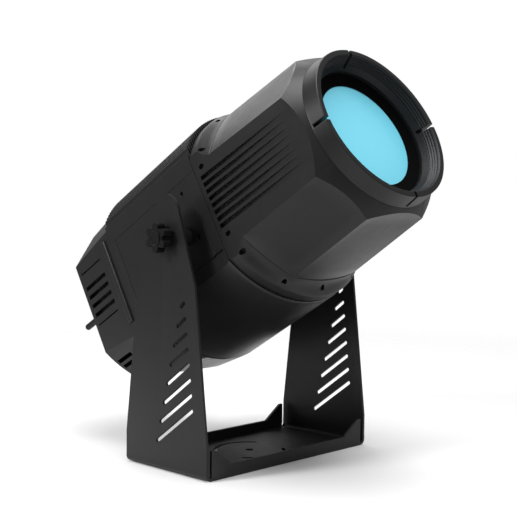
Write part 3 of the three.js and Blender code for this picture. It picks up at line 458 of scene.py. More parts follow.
def selected_edges(obj, test):
    """Opens a piece with the edges chosen that pass a test on their two ends."""
    only(obj)
    bpy.ops.object.mode_set(mode="EDIT")
    bpy.ops.mesh.select_mode(type="EDGE")
    bpy.ops.mesh.select_all(action="DESELECT")
    bpy.ops.object.mode_set(mode="OBJECT")
    points = obj.data.vertices
    for edge in obj.data.edges:
        edge.select = test(*[points[i].co for i in edge.vertices])
    bpy.ops.object.mode_set(mode="EDIT")


def selected_points(obj, test):
    """Opens a piece with the points chosen that pass a test."""
    only(obj)
    bpy.ops.object.mode_set(mode="EDIT")
    bpy.ops.mesh.select_mode(type="VERT")
    bpy.ops.mesh.select_all(action="DESELECT")
    bpy.ops.object.mode_set(mode="OBJECT")
    for vertex in obj.data.vertices:
        vertex.select = test(vertex.co)
    bpy.ops.object.mode_set(mode="EDIT")


def rounded(obj, radius, steps, test):
    """Rounds the edges chosen by a test."""
    selected_edges(obj, test)
    bpy.ops.mesh.bevel(offset=radius, segments=steps, affect="EDGES", clamp_overlap=True)
    bpy.ops.mesh.select_mode(type="VERT")
    return closed(obj)


def softened(obj, width, steps, angle):
    """A small round on every edge sharper than the angle."""
    only(obj)
    modifier = obj.modifiers.new("round", "BEVEL")
    modifier.width = width
    modifier.segments = steps
    modifier.limit_method = "ANGLE"
    modifier.angle_limit = radians(angle)
    modifier.harden_normals = False
    bpy.ops.object.modifier_apply(modifier=modifier.name)
    return obj


def along(axis):
    """An edge test: the edge runs along one axis."""
    return lambda a, b: abs((b - a)[axis]) > 0.999 * (b - a).length


def stadium(name, length, width, depth, plane):
    """A slot cutter: a block along X whose four edges along Z are rounded to half its width."""
    tool = block(name, (-length / 2, -width / 2, -depth / 2), (length / 2, width / 2, depth / 2))
    rounded(tool, width * 0.499, 6, along(2))
    tool.data.transform(plane)
    return tool


def fitted(obj, matrix, body, slot, *nodes, finish=None, angle=30):
    """Puts a finished piece in its place, in its finish, on its body and for its nodes."""
    obj.name = obj.data.name = "modelled_" + nodes[0]
    obj.data.transform(matrix)
    obj.data.materials.clear()
    obj.data.materials.append(FINISHES[finish or slot])
    only(obj)
    bpy.ops.object.shade_smooth_by_angle(angle=radians(angle))
    weighted = obj.modifiers.new("weighted", "WEIGHTED_NORMAL")
    weighted.keep_sharp = True
    bpy.ops.object.modifier_apply(modifier=weighted.name)
    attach(obj, body)
    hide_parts(*nodes)
    return obj


# Yoke: half sizes, sheet and bends, and (y, z) points on an arm's slanted side
ARM_OUTER = 179
ARM_INNER = 175
YOKE_DEPTH = 90.5
SHEET = 4
OUTER_BEND = 9
INNER_BEND = 5
STRAIGHT = (YOKE_DEPTH, 49)
KNEE = (63.5, 281)
CROWN_TOP = 413
CROWN_RADIUS = 27
CROWN_ROUND = 19
AXLE_HOLE = 6.6
BOLT_HOLE = 6.5

# Slanted slots: both ends of the uppermost one, and the steps down to the next
ARM_SLOTS = 8
SLOT_WIDTH = 6
SLOT_FRONT = Vector((-40.3, 255))
SLOT_FRONT_STEP = Vector((-2.55, -22.3))
SLOT_REAR = Vector((-34.4, 249.9))
SLOT_REAR_STEP = Vector((7.4, -29.4))
ACROSS_ARM = Matrix(((0, 0, 1, 0), (1, 0, 0, 0), (0, 1, 0, 0), (0, 0, 0, 1)))

# Base: curved slots, turned-up lips with gussets, and the relief holes at the lips' ends
ARC_RADIUS = 55
ARC_WIDTH = 6.5
ARC_HALF_TURN = radians(55)
LIP_HALF = 168.5
LIP_HEIGHT = 19.5
LIP_BEND = 4
GUSSET_HEIGHT = 44
GUSSET_FOOT = 128
GUSSET_TOP = 162
RELIEF_PLACE = 171.5
RELIEF_RADIUS = 3.8


def slanted(sheet, low, high):
    """Cuts both upright sides of the yoke along a line given by its lower and upper (y, z) point."""
    run = high[0] - low[0]
    rise = high[1] - low[1]
    for side in (1, -1):
        bisected(sheet, (0, side * low[0], low[1]), (0, side * rise, -run))


def arm_slots():
    """Cutters for the slanted slots, through both arms."""
    tools = []
    for i in range(ARM_SLOTS):
        start = SLOT_FRONT + SLOT_FRONT_STEP * i
        end = SLOT_REAR + SLOT_REAR_STEP * i
        run = end - start
        middle = (start + end) / 2
        turn = Matrix.Rotation(atan2(run.y, run.x), 4, "X")
        place = Matrix.Translation((0, middle.x, middle.y)) @ turn @ ACROSS_ARM
        tools.append(stadium("slot", run.length + SLOT_WIDTH, SLOT_WIDTH, 2 * ARM_OUTER + 20, place))
    return tools


def arc_slot(middle):
    """A curved slot: a ring about the base's centre, cut down to an arc whose ends are drilled."""
    half = ARC_WIDTH / 2
    inner = ARC_RADIUS - half
    outer = ARC_RADIUS + half
    tool = ring("arc slot", [(inner, -10), (outer, -10), (outer, 10), (inner, 10)], 96)
    ends = []
    for way in (-1, 1):
        edge = middle + way * ARC_HALF_TURN
        bisected(tool, (0, 0, 0), (-way * sin(edge), way * cos(edge), 0))
        ends.append(drill(half, ARC_RADIUS * cos(edge), ARC_RADIUS * sin(edge), -11, 11))
    return [tool, *ends]


def lip(side):
    """The turned-up edge of the base: its ends rise to gussets that stop short of the arms."""
    outer = side * YOKE_DEPTH
    y0, y1 = sorted((outer, side * (YOKE_DEPTH - SHEET)))
    strip = block("lip", (-LIP_HALF, y0, 0), (LIP_HALF, y1, LIP_HEIGHT))
    for x in (-GUSSET_TOP, -GUSSET_FOOT, GUSSET_FOOT, GUSSET_TOP):
        only(strip)
        bpy.ops.object.mode_set(mode="EDIT")
        bpy.ops.mesh.select_all(action="SELECT")
        bpy.ops.mesh.bisect(plane_co=(x, 0, 0), plane_no=(1, 0, 0))
        bpy.ops.object.mode_set(mode="OBJECT")
    selected_points(strip, lambda point: point.z > LIP_HEIGHT - 1 and abs(point.x) > GUSSET_TOP - 1)
    bpy.ops.transform.translate(value=(0, 0, GUSSET_HEIGHT - LIP_HEIGHT))
    closed(strip)

    def outer_foot(a, b):
        return along(0)(a, b) and all(end.z < 1 and abs(end.y - outer) < 1 for end in (a, b))

    return rounded(strip, LIP_BEND, 4, outer_foot)


def yoke():
    """A bent sheet: its arms are slanted to a round crown, its base has lips, slots and holes."""
    sheet = block("yoke", (-ARM_OUTER, -YOKE_DEPTH, 0), (ARM_OUTER, YOKE_DEPTH, CROWN_TOP))
    rounded(sheet, OUTER_BEND, 8, lambda a, b: along(1)(a, b) and a.z < 1 and b.z < 1)
    reach = YOKE_DEPTH + 5
    hollow = block("hollow", (-ARM_INNER, -reach, SHEET), (ARM_INNER, reach, CROWN_TOP + 10))
    low = SHEET + 1
    rounded(hollow, INNER_BEND, 6, lambda a, b: along(1)(a, b) and a.z < low and b.z < low)
    cut(sheet, hollow)
    crown = CROWN_TOP - CROWN_RADIUS
    distance = hypot(KNEE[0], crown - KNEE[1])
    turn = atan2(KNEE[1] - crown, KNEE[0]) + acos(CROWN_RADIUS / distance)
    tangent = (CROWN_RADIUS * cos(turn), crown + CROWN_RADIUS * sin(turn))
    slanted(sheet, STRAIGHT, KNEE)
    slanted(sheet, KNEE, tangent)
    high = CROWN_TOP - 1
    rounded(sheet, CROWN_ROUND, 14, lambda a, b: along(0)(a, b) and a.z > high and b.z > high)
    fuse(sheet, lip(1), lip(-1))
    reliefs = [drill(RELIEF_RADIUS, x * RELIEF_PLACE, y * (YOKE_DEPTH - SHEET), -1, 10)
               for x in (-1, 1) for y in (-1, 1)]
    holes = [*arm_slots(), *reliefs, drill(BOLT_HOLE, 0, 0, -1, SHEET + 1),
             cross_drill(AXLE_HOLE, -ARM_OUTER - 5, ARM_OUTER + 5, 0, PIVOT_HEIGHT)]
    cut(sheet, merged(holes), *arc_slot(QUARTER), *arc_slot(-QUARTER))
    softened(sheet, 0.6, 2, 40)
    return fitted(sheet, ROW, "base", "coat", "yoke")


# Tilt knobs: heights are from the grip's inner face
KNOB_LOBES = 6
KNOB_CORE = 15.2
KNOB_LOBE = 5.9
KNOB_LOBE_PLACE = 16.1
KNOB_HEIGHT = 15
KNOB_STANDOFF = 6.3
STUD_RADIUS = 6
STUD_END = -36.2


def star_knob(side, body):
    """A lobed grip on a neck: lobes are copied round a core and fused to it."""
    grip = turned("knob", [(KNOB_CORE, 0), (KNOB_CORE, KNOB_HEIGHT)], 56)
    first = turned("lobe", [(KNOB_LOBE, 0), (KNOB_LOBE, KNOB_HEIGHT)], 32)
    out = Matrix.Translation((KNOB_LOBE_PLACE, 0, 0))
    turns = [Matrix.Rotation(2 * pi * i / KNOB_LOBES, 4, "Z") for i in range(KNOB_LOBES)]
    lobes = [copied(first, turn @ out) for turn in turns]
    bpy.data.objects.remove(first)
    fuse(grip, *lobes)
    softened(grip, 1.8, 3, 50)
    neck = turned("neck", [(13, -6), (13, -1.2), (14.5, 0.6)], 56)
    cap = turned("cap", [(11, 14), (11, 16.2), (10.2, 17), (7.5, 17), (7, 16.4)], 56)
    stud = turned("stud", [(STUD_RADIUS, STUD_END), (STUD_RADIUS, -5)], 32)
    fuse(grip, neck, cap, stud)
    softened(grip, 0.3, 2, 45)
    turn = Matrix.Rotation(side * QUARTER, 4, "Y")
    place = AXLE @ Matrix.Translation((side * (ARM_OUTER + KNOB_STANDOFF), 0, 0)) @ turn
    return fitted(grip, place, body, "plastic", "left_knob" if side < 0 else "right_knob")


# Head: x is across, v is up and the third place runs forward along the beam
SIDE_FLAT = 138
BODY_RADIUS = 164
BODY_LIP_RADIUS = 162.2
BODY_REAR = -166
BODY_FRONT = 62.7
BODY_INNER_RADIUS = 160
BODY_INNER_FLAT = 131
SPLIT = 66

# The belly's seam, and the underside behind it that rises to the rear
SEAM_REAR = -139.2
SEAM_FRONT = -137.4
SEAM_BOTTOM = 160.8
STEP_PLACE = -141.4
UNDERSIDE_START = -138
UNDERSIDE = radians(11.5)
UNDERSIDE_PITCH = 12
UNDERSIDE_STEP = 7
UNDERSIDE_WALL = 4
GROOVE_HALF = 1.6
GROOVE_DEPTH = 3.3

# Flush side covers in their pockets: v and beam places of their edges
COVER_FLOOR = 134.7
COVER_INNER = 135
COVER_LOW = -65.7
COVER_REAR = -151.7
COVER_FRONT = 40.7
COVER_GAP = 0.3
COVER_SCREW_PLACE = 23
COVER_SCREW_HEIGHTS = (49, -24)
COVER_SCREW_HOLE = 3.3
BOSS_HOLE = 13.3

# Finned top
HEATSINK_RADIUS = 170
HEATSINK_FOOT = 66.3
FIN_FOOT = 96
FIN_EDGE = 133
FIN_COUNT = 52
FIN_THICKNESS = 1.8
FIN_SPAN = 264.2


def flats(obj, half_rear, half_front, rear, front):
    """Cuts both side flats, which may close in towards the front."""
    for side in (1, -1):
        bisected(obj, (side * half_rear, 0, rear), (side * (front - rear), 0, half_rear - half_front))


def raised_underside(obj, rise):
    """Cuts the flat underside that rises to the rear."""
    bisected(obj, (0, rise - BODY_RADIUS, UNDERSIDE_START), (0, -1, -tan(UNDERSIDE)))


def underside_grooves(half_width, rear, front):
    """One cutter for the long grooves of the underside, laid on its slope."""
    slope = (Matrix.Translation((0, UNDERSIDE_STEP - BODY_RADIUS, UNDERSIDE_START))
             @ Matrix.Rotation(UNDERSIDE, 4, "X"))
    count = int(half_width // UNDERSIDE_PITCH)
    tools = []
    for i in range(-count, count + 1):
        x = i * UNDERSIDE_PITCH
        low = (x - GROOVE_HALF, -2, rear - UNDERSIDE_START)
        tool = block("groove", low, (x + GROOVE_HALF, GROOVE_DEPTH, front - UNDERSIDE_START))
        tool.data.transform(slope)
        tools.append(tool)
    return merged(tools)


def both_sides(name, inner, outer, low, high):
    """A left and a right block between two distances from the middle; low and high are (v, beam) corners."""
    return [block(name, (min(ends), *low), (max(ends), *high)) for ends in ((-outer, -inner), (inner, outer))]


def body():
    """The round belly between side flats, open at the top and hollow."""
    rear = BODY_REAR - 1
    profile = [(BODY_RADIUS, BODY_REAR), (BODY_RADIUS, BODY_FRONT - 5), (BODY_LIP_RADIUS, BODY_FRONT)]
    shell = turned("body", profile, 160)
    flats(shell, SIDE_FLAT, SIDE_FLAT, 0, 1)
    bisected(shell, (0, SPLIT, 0), (0, 1, 0))
    raised_underside(shell, 0)
    inner = turned("inner", [(BODY_INNER_RADIUS, rear), (BODY_INNER_RADIUS, BODY_FRONT + 1)], 160)
    flats(inner, BODY_INNER_FLAT, BODY_INNER_FLAT, 0, 1)
    raised_underside(inner, UNDERSIDE_STEP + UNDERSIDE_WALL)
    cut(shell, inner)
    step = block("step", (-150, -220, rear), (150, -60, STEP_PLACE))
    bisected(step, (0, UNDERSIDE_STEP - BODY_RADIUS, UNDERSIDE_START), (0, 1, tan(UNDERSIDE)))
    seam = ring("seam", [(SEAM_BOTTOM, SEAM_REAR), (BODY_RADIUS + 2, SEAM_REAR),
                         (BODY_RADIUS + 2, SEAM_FRONT), (SEAM_BOTTOM, SEAM_FRONT)], 160)
    bisected(seam, (0, -88, 0), (0, 1, 0))
    notches = both_sides("notch", 136, 140, (-69, 33), (-64.4, 60))
    pockets = both_sides("pocket", COVER_FLOOR, 140, (COVER_LOW - COVER_GAP, COVER_REAR - COVER_GAP),
                         (SPLIT + 1, COVER_FRONT + COVER_GAP))
    cut(shell, seam, merged(notches), *pockets, step, underside_grooves(42, rear, STEP_PLACE - 0.1))
    softened(shell, 0.6, 2, 24)
    return fitted(shell, HEAD, "head", "casting", "body_housing", angle=20)


def side_cover(side):
    """A flush plate with screw holes and a hole for the pivot boss."""
    x0, x1 = sorted((side * COVER_INNER, side * SIDE_FLAT))
    plate = block("cover", (x0, COVER_LOW, COVER_REAR), (x1, SPLIT, COVER_FRONT))
    holes = [cross_drill(COVER_SCREW_HOLE, x0 - 1, x1 + 1, v, COVER_SCREW_PLACE, 24)
             for v in COVER_SCREW_HEIGHTS]
    cut(plate, merged([*holes, cross_drill(BOSS_HOLE, x0 - 1, x1 + 1, -BEAM_RISE, 0)]))
    softened(plate, 0.5, 2, 40)
    return fitted(plate, HEAD, "head", "casting", "left_side_cover" if side < 0 else "right_side_cover")


def top_heatsink():
    """A round-topped block whose outer steps, underside and gaps between the fins are cut away."""
    rear, front = BODY_REAR - 1, BODY_FRONT + 1
    fins = turned("heatsink", [(HEATSINK_RADIUS, BODY_REAR), (HEATSINK_RADIUS, BODY_FRONT)], 240)
    bisected(fins, (0, HEATSINK_FOOT, 0), (0, -1, 0))
    flats(fins, SIDE_FLAT, SIDE_FLAT, 0, 1)
    tools = both_sides("step", FIN_EDGE, 140, (FIN_FOOT, rear), (180, front))
    pitch = FIN_SPAN / FIN_COUNT
    for i in range(FIN_COUNT):
        x = FIN_EDGE - pitch * i
        tools.append(block("gap", (x - pitch, FIN_FOOT, rear), (x - FIN_THICKNESS, 180, front)))
    cut(fins, merged(tools), block("under", (-131, 60, rear), (131, 92, front)))
    low = FIN_FOOT - 1
    rounded(fins, 1.4, 3, lambda a, b: along(2)(a, b) and abs(abs(a.x) - SIDE_FLAT) < 0.1 and a.y > low)
    softened(fins, 0.4, 2, 40)
    return fitted(fins, HEAD, "head", "casting", "top_heatsink")


# Barrel: its outline goes from nearly round at the collar to an octagon at the nose
NOSE_HALF = 131
NOSE_RADIUS = 145.5
REAR_RADIUS = 154.5
COLLAR_REAR = 63
COLLAR_SLOPE = 81.4
BARREL_REAR = 89.5
NOSE_START = 260.5
NOSE_END = 283.5
NOSE_FACE = 126
CONE_SLOPE = 19.5 / 23
FACET = radians(26)
REAR_FLATNESS = 0.45
BARREL_RINGS = 8
SPAN_STEPS = 10

# Side grooves and the hollow behind the lens
BARREL_GROOVES = 8
BARREL_GROOVE_TOP = 46.4
BARREL_GROOVE_PITCH = 11.6
BARREL_GROOVE_HALF = 3.4
BARREL_GROOVE_REAR = 71.5
BARREL_GROOVE_LENGTH = 193
BARREL_GROOVE_TURN = 1.8
BARREL_GROOVE_TURN_STEP = 0.15
BARREL_HOLLOW = [(141, COLLAR_REAR + 5), (136, 150), (126, 250), (126, 268), (91, 268), (91, 300)]
BARREL_INNER_FLAT = 127
MOUTH = 102
MOUTH_FLOOR = 261


def section(radius, half, share, height):
    """The barrel's outline: side flats, and between them facets that are round at share 0 and flat at 1."""
    side = acos(half / radius)
    spans = []
    for turn in (0, pi):
        spans += [(turn - side, turn + side, 1.0), (turn + side, turn + QUARTER - FACET, share),
                  (turn + QUARTER - FACET, turn + QUARTER + FACET, share),
                  (turn + QUARTER + FACET, turn + pi - side, share)]
    points = []
    for start, end, flat in spans:
        middle = (start + end) / 2
        reach = cos((end - start) / 2)
        for i in range(SPAN_STEPS):
            angle = start + (end - start) * i / SPAN_STEPS
            chord = reach / cos(angle - middle)
            distance = radius * (1 + flat * (chord - 1))
            points.append((distance * cos(angle), distance * sin(angle), height))
    return points


def blend(low, high, share):
    """A number between two others."""
    return low + (high - low) * share


def skin():
    """The barrel's outer shape, ring by ring, with a cone cut round its nose."""
    rings = []
    for i in range(BARREL_RINGS + 1):
        t = i / BARREL_RINGS
        rings.append(section(blend(REAR_RADIUS, NOSE_RADIUS, t), blend(SIDE_FLAT, NOSE_HALF, t),
                             blend(REAR_FLATNESS, 1, t), blend(BARREL_REAR, NOSE_START, t)))
    rings.append(section(NOSE_RADIUS, NOSE_HALF, 1, NOSE_END))
    tube = lofted("barrel", rings)
    wide = 175
    cone_start = NOSE_START - (wide - NOSE_RADIUS) / CONE_SLOPE
    limit = turned("limit", [(wide, 50), (wide, cone_start), (NOSE_FACE, NOSE_END)], 160)
    boolean(tube, [limit], "INTERSECT")
    return softened(tube, 1.2, 2, 14)


def collar():
    """A round band that slopes down to the barrel and takes on its facets."""
    outline = [(161, COLLAR_REAR), (162.7, COLLAR_REAR + 5.4), (163, COLLAR_REAR + 6.6), (163, COLLAR_SLOPE),
               (162.6, 83.6), (160.6, 88), (158.2, 92), (156.2, 96), (155, 100), (154.4, 104), (150, 105)]
    rings = []
    for radius, height in outline:
        share = REAR_FLATNESS * min(1, max(0, (height - COLLAR_SLOPE) / 12))
        rings.append(section(radius, SIDE_FLAT, share, height))
    band = lofted("collar", rings)
    flats(band, SIDE_FLAT, NOSE_HALF, BARREL_REAR, NOSE_START)
    return softened(band, 0.8, 2, 28)


def barrel_grooves():
    """One cutter for the slightly slanted grooves on both side flats."""
    low = NOSE_HALF + 0.3
    tools = []
    for i in range(BARREL_GROOVES):
        turn = Matrix.Rotation(radians(BARREL_GROOVE_TURN - BARREL_GROOVE_TURN_STEP * i), 4, "X")
        height = BARREL_GROOVE_TOP - BARREL_GROOVE_PITCH * i
        place = Matrix.Translation((0, height, BARREL_GROOVE_REAR)) @ turn
        for x0, x1 in ((low, 145), (-145, -low)):
            tool = block("groove", (x0, -BARREL_GROOVE_HALF, 0),
                         (x1, BARREL_GROOVE_HALF, BARREL_GROOVE_LENGTH))
            tool.data.transform(place)
            tools.append(tool)
    return merged(tools)


def barrel():
    """The tube that tapers to the nose, with its collar, grooves, hollow and screw seats."""
    shell = skin()
    fuse(shell, collar())
    cut(shell, barrel_grooves())
    inner = turned("inner", BARREL_HOLLOW, 96)
    throat = turned("throat", [(141, COLLAR_REAR - 1), (141, COLLAR_REAR + 6)], 96)
    bisected(throat, (0, 92, 0), (0, 1, 0))
    for hollow in (inner, throat):
        flats(hollow, BARREL_INNER_FLAT, BARREL_INNER_FLAT, 0, 1)
    cut(shell, inner, throat, turned("mouth", [(MOUTH, MOUTH_FLOOR), (MOUTH, 290)], 96))
    cut(shell, merged([screw_seat(seat) for seat in COLLAR_SEATS]))
    softened(shell, 0.5, 2, 42)
    return fitted(shell, HEAD, "head", "casting", "barrel_housing", angle=22)


# Screws: each seat is (angle, distance, height, place along the beam)
FLAT_SCREW_PLACE = 81
FLAT_SCREW_HEIGHTS = (62, -50.5)
ROUND_SCREW_PLACE = 90
ROUND_SCREW_STEP = radians(28.7)
ROUND_SCREW_DISTANCES = (160, 156.5, 153, 156.5, 160)
SEAT_RADIUS = 4
SEAT_DEPTH = 5
SEAT_STRETCH = 1.35


def flat_seats(heights, place):
    """Seats on both side flats."""
    return [(angle, SIDE_FLAT, height, place) for angle in (0, pi) for height in heights]


def round_seats():
    """Seats on the collar's upper and lower rounds."""
    return [(middle + ROUND_SCREW_STEP * (i - 2), distance, 0, ROUND_SCREW_PLACE)
            for middle in (QUARTER, -QUARTER) for i, distance in enumerate(ROUND_SCREW_DISTANCES)]


COLLAR_SEATS = flat_seats(FLAT_SCREW_HEIGHTS, FLAT_SCREW_PLACE) + round_seats()
COVER_SEATS = flat_seats(COVER_SCREW_HEIGHTS, COVER_SCREW_PLACE)


def seat_place(seat):
    """Where a screw stands: Z points out of the surface."""
    angle, distance, height, ahead = seat
    return (Matrix.Translation((distance * cos(angle), height + distance * sin(angle), ahead))
            @ Matrix.Rotation(angle, 4, "Z") @ Matrix.Rotation(QUARTER, 4, "Y"))


def screw_seat(seat):
    """A recess for a screw head, longer along the beam."""
    tool = turned("seat", [(SEAT_RADIUS, -SEAT_DEPTH), (SEAT_RADIUS, 3)], 24)
    tool.data.transform(seat_place(seat) @ Matrix.Diagonal((SEAT_STRETCH, 1, 1, 1)))
    return tool


def hex_screw(head, height, shank, length):
    """A socket screw with its head's top at zero."""
    profile = [(shank, -length), (shank, -height - 0.3), (head, -height), (head, -0.4), (head - 0.4, 0)]
    screw = turned("screw", profile, 24)
    cut(screw, turned("socket", [(head * 0.55, -height * 0.7), (head * 0.55, 1)], 6))
    return screw


def screws(name, seats, pattern, drop):
    """Copies a screw into each seat, its head that far below the surface."""
    for i, seat in enumerate(seats):
        screw = copied(pattern, seat_place(seat) @ Matrix.Translation((0, 0, -drop)))
        fitted(screw, HEAD, "head", "black_steel", f"{name}_screw_{i + 1:02d}")
    bpy.data.objects.remove(pattern)


# Hood: a flared ring with four slots and fine rings inside
HOOD_REAR = NOSE_END + 0.3
HOOD_LENGTH = 25.7
HOOD_RIM = HOOD_REAR + HOOD_LENGTH
HOOD_MOUTH = 103.4
HOOD_FLARE = 10.6 / HOOD_LENGTH
HOOD_SLOT_HALF = 2.6
HOOD_RINGS = 4
HOOD_RING_PITCH = 3.6
# How far from the beam the inner faces take the painted lens reflection
PAINTED_REFLECTION_REACH = 0.1155


def hood():
    """The flared ring, whose inner face takes a lighter bluish coat: a painted reflection of the lens."""
    reach = 140
    profile = [(HOOD_MOUTH, HOOD_REAR), (NOSE_FACE, HOOD_REAR), (125.2, HOOD_REAR + 4),
               (122.9, HOOD_RIM - 0.8), (122.2, HOOD_RIM), (114.8, HOOD_RIM), (114, HOOD_RIM - 0.6)]
    for i in range(1, HOOD_RINGS + 1):
        height = HOOD_RIM - HOOD_RING_PITCH * i
        inner = HOOD_MOUTH + HOOD_FLARE * (height - HOOD_REAR)
        profile += [(inner, height + 0.5), (inner + 0.9, height),
                    (inner + 0.9, height - 1.2), (inner, height - 1.7)]
    hoop = ring("hood", profile, 160)
    for x, v in ((HOOD_SLOT_HALF, reach), (reach, HOOD_SLOT_HALF)):
        cut(hoop, block("slot", (-x, -v, HOOD_REAR + 3), (x, v, HOOD_RIM + 5)))
    softened(hoop, 0.4, 2, 40)
    piece = fitted(hoop, HEAD, "head", "casting", "hood", angle=25)
    # Inner faces take the lighter bluish coat, a painted reflection of the lens
    piece.data.materials.append(FINISHES["hood painted reflection"])
    beam = (HEAD.to_3x3() @ Vector((0, 0, 1))).normalized()
    for face in piece.data.polygons:
        out = face.center - HEAD.translation
        radial = out - beam * out.dot(beam)
        if face.normal.dot(radial.normalized()) < -0.3 and radial.length < PAINTED_REFLECTION_REACH:
            face.material_index = 1
    return piece


# Front glass and the black ring that holds it
LENS_RADIUS = 101.7
LENS_VIEW = 83.3


def lens_ring():
    """The black ring whose inner slope leads down to the glass."""
    profile = [(LENS_VIEW, 274), (LENS_RADIUS, 274), (LENS_RADIUS, 279), (100.9, 279.6), (84.6, 275.9),
               (LENS_VIEW, 275.2)]
    hoop = ring("lens ring", profile, 160)
    softened(hoop, 0.3, 2, 40)
    return fitted(hoop, HEAD, "head", "plastic", "lens_ring", finish="ring")


def front_lens():
    """The front glass, flat outside and domed inside."""
    profile = [(40, 251.5), (70, 256), (91, 262.6), (LENS_RADIUS, 262.7), (LENS_RADIUS, 273.2),
               (101.2, 273.7)]
    disc = turned("front lens", profile, 128)
    softened(disc, 0.3, 2, 40)
    return fitted(disc, HEAD, "head", "glass", "front_lens", finish="lens")


# Rear cap: its upper corners are slanted, and it narrows slightly to the rear
CAP_REAR = -270
CAP_FRONT = -166.3
CAP_REAR_RADIUS = 158
CAP_REAR_HALF = 137
CAP_REAR_TOP = 134
CAP_TOP_RISE = 3
CAP_REAR_CORNER = (137, 78)
CAP_REAR_EDGE = (78, 134)
CAP_FRONT_CORNER = (138, 90)
CAP_WALL_SHARE = 0.97
CAP_FLOOR = 4.3

# Louvres, slits and their baffles: (height, half width) of each opening
LOUVRES = [(32 - 16 * i, 3.5) for i in range(4)] + [(59, 1.2), (-33, 1.2)]
LOUVRE_REAR = -262
LOUVRE_FRONT = -204
LOUVRE_FLOOR = 127
BAFFLE_INNER = 124
BAFFLE_OUTER = 134.5
LOW_LOUVRE_TURNS = (39.5, 43.9)

# Upright ribs with (v, beam) corners, and the holes for the stub and the gland
RIB_INNER = 135
RIB_OUTER = 142
RIB_LOW = (-66, -187.3)
RIB_HIGH = (78, -176.3)
RIB_ROUND = 2.8
STUB_PLACE = (-115, -12)
STUB_HOLE = 3.8
GLAND_PLACE = (60, -95)
GLAND_HOLE = 9.8
STUB_FOOT = CAP_REAR - 0.3
STUB_TIP = STUB_FOOT - 50


def cap_block():
    """The outer shape of the cap, before it is hollowed."""
    can = turned("cap", [(CAP_REAR_RADIUS, CAP_REAR), (BODY_RADIUS, CAP_FRONT)], 160)
    flats(can, CAP_REAR_HALF, SIDE_FLAT, CAP_REAR, CAP_FRONT)
    for side in (1, -1):
        corner = Vector((side * CAP_REAR_CORNER[0], CAP_REAR_CORNER[1], CAP_REAR))
        edge = Vector((side * CAP_REAR_EDGE[0], CAP_REAR_EDGE[1], CAP_REAR))
        corner_ahead = Vector((side * CAP_FRONT_CORNER[0], CAP_FRONT_CORNER[1], CAP_FRONT))
        normal = (edge - corner).cross(corner_ahead - corner)
        normal *= 1 if normal.y > 0 else -1
        bisected(can, corner, normal)
    bisected(can, (0, CAP_REAR_TOP, CAP_REAR), (0, CAP_FRONT - CAP_REAR, -CAP_TOP_RISE))
    raised_underside(can, UNDERSIDE_STEP)
    return softened(can, 2.4, 3, 16)


def louvres():
    """One cutter for the louvres and slits on both sides, and for those on the lower round."""
    tools = []
    for v, half in LOUVRES:
        tools += both_sides("louvre", LOUVRE_FLOOR, 142, (v - half, LOUVRE_REAR), (v + half, LOUVRE_FRONT))
    for turn in LOW_LOUVRE_TURNS:
        for angle in (pi + radians(turn), -radians(turn)):
            tool = block("low louvre", (150, -3.5, -264), (166, 3.5, -225))
            tool.data.transform(Matrix.Rotation(angle, 4, "Z"))
            tools.append(tool)
    return merged(tools)


def ribs():
    """The upright rib on each side, its outer edges rounded."""
    made = []
    for rib, side in zip(both_sides("rib", RIB_INNER, RIB_OUTER, RIB_LOW, RIB_HIGH), (-1, 1)):
        outer = side * RIB_OUTER
        rounded(rib, RIB_ROUND, 4, lambda a, b, x=outer: abs(a.x - x) < 0.1 and abs(b.x - x) < 0.1)
        made.append(rib)
    return made


def rear_cap():
    """A hollow cap with baffles behind its louvres, ribs, and holes for the stub and the gland."""
    can = cap_block()
    shrink = Matrix.Diagonal((CAP_WALL_SHARE, CAP_WALL_SHARE, 1, 1))
    cut(can, copied(can, shrink @ Matrix.Translation((0, 0, CAP_FLOOR))))
    fuse(can, *both_sides("baffle", BAFFLE_INNER, BAFFLE_OUTER, (-45, LOUVRE_REAR - 4),
                          (66, LOUVRE_FRONT + 6)))
    cut(can, louvres(), underside_grooves(70, CAP_REAR + 3, CAP_FRONT + 1))
    fuse(can, *ribs())
    behind = CAP_REAR - 5
    ahead = CAP_REAR + 8
    stub_hole = drill(STUB_HOLE, *STUB_PLACE, behind, ahead)
    cut(can, merged([stub_hole, drill(GLAND_HOLE, *GLAND_PLACE, behind, ahead)]))
    softened(can, 0.5, 2, 42)
    return fitted(can, HEAD, "head", "casting", "rear_cap", angle=22)


def stub():
    """The short round stub at the rear, read as an antenna."""
    profile = [(2.6, STUB_TIP), (4.2, STUB_TIP + 0.8), (5.2, STUB_TIP + 2.8), (5.2, STUB_FOOT - 9),
               (6.4, STUB_FOOT - 4.6), (9, STUB_FOOT - 4), (9, STUB_FOOT - 0.6), (8.4, STUB_FOOT),
               (3.5, STUB_FOOT), (3.5, -265.7)]
    rod = turned("stub", profile, 40)
    softened(rod, 0.3, 2, 45)
    rod.data.transform(Matrix.Translation((*STUB_PLACE, 0)))
    return fitted(rod, HEAD, "head", "plastic", "stub_antenna")


# Studio: sizes in metres; each lamp is (name, place, aim, size, watts)
FLOOR_RADIUS = 2.6
FADE_START = 0.5
FADE_LENGTH = 1.2
SURROUNDINGS = 0.35
LAMPS = (
    ("key", (-2.0, 0.6, 1.55), (0, 0, 0.35), 0.6, 44),
    ("back light", (0.9, 1.7, 1.9), (0, 0, 0.35), 1.8, 12),
    ("front light", (-0.3, -2.2, 1.9), (0, 0, 0.4), 1.2, 6),
    ("top light", (0, -0.3, 2.4), (0, 0, 0.2), 1.8, 52),
)


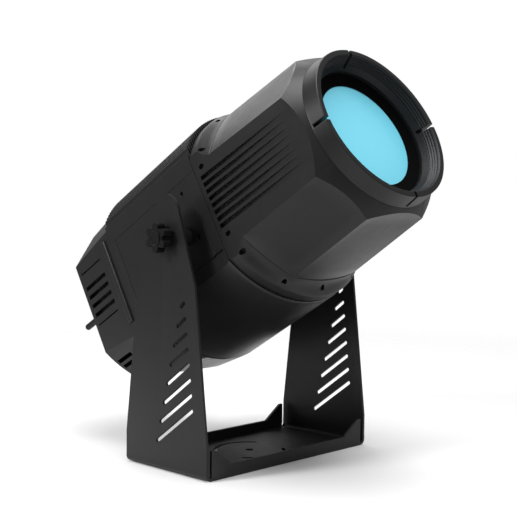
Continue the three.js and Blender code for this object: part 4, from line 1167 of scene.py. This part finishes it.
def floor():
    """A pale floor that fades out into the white surroundings."""
    bpy.ops.object.select_all(action="DESELECT")
    bpy.ops.mesh.primitive_circle_add(vertices=96, radius=FLOOR_RADIUS, fill_type="NGON",
                                      location=(0, 0, -0.0005))
    ground = bpy.context.active_object
    ground.name = "floor"
    bpy.ops.object.transform_apply()
    surface = Finish("studio floor")
    tone = surface.noise(3, 3)
    surface.colour(surface.mixed(tone, rgb(0.84, 0.84, 0.84), rgb(0.87, 0.87, 0.87)))
    surface.roughness(0.75 + tone * 0.1)
    reach = surface.node("VectorMath", {"operation": "LENGTH"})
    surface.feed(reach.inputs[0], surface.place)
    fade = ((Value(surface.tree, reach.outputs["Value"]) - FADE_START) / FADE_LENGTH).clipped()
    clear = surface.node("BsdfTransparent")
    mix = surface.node("MixShader", Fac=fade)
    surface.tree.links.new(surface.shader.outputs[0], mix.inputs[1])
    surface.tree.links.new(clear.outputs[0], mix.inputs[2])
    surface.tree.links.new(mix.outputs[0], surface.tree.nodes["Material Output"].inputs[0])
    ground.data.materials.append(surface.material)


def studio():
    """White surroundings that light the object less than they show, and soft lamps."""
    world = bpy.data.worlds.new("studio")
    bpy.context.scene.world = world
    world.use_nodes = True
    tree = world.node_tree
    background = tree.nodes["Background"]
    path = tree.nodes.new("ShaderNodeLightPath")
    seen = Value(tree, path.outputs["Is Camera Ray"])
    shown = seen.maths("MAXIMUM", seen, Value(tree, path.outputs["Is Transmission Ray"]))
    level = shown * (1 - SURROUNDINGS) + SURROUNDINGS
    background.inputs[0].default_value = rgb(1, 1, 1)
    tree.links.new(level.socket, background.inputs[1])
    bpy.context.scene.view_settings.view_transform = "Standard"
    for lamp in LAMPS:
        add_softbox(*lamp)


add_camera()
studio()
floor()

yoke()
star_knob(-1, "left_grip")
star_knob(1, "right_grip")
body()
side_cover(-1)
side_cover(1)
top_heatsink()
barrel()
screws("collar", COLLAR_SEATS, hex_screw(head=3.4, height=1.3, shank=1.7, length=5), drop=3.6)
screws("cover", COVER_SEATS, hex_screw(head=2.8, height=1, shank=1.6, length=4), drop=1.7)
hood()
lens_ring()
front_lens()
rear_cap()
stub()

# CAD nodes that keep their shape take the finish of their slot
SLOTS = {part["node"]: part["material_slot"] for part in frame["record"]["subparts"]}
for name, node in frame["nodes"].items():
    if not node.hide_render:
        node.data.materials.clear()
        node.data.materials.append(FINISHES[SLOTS[name]])
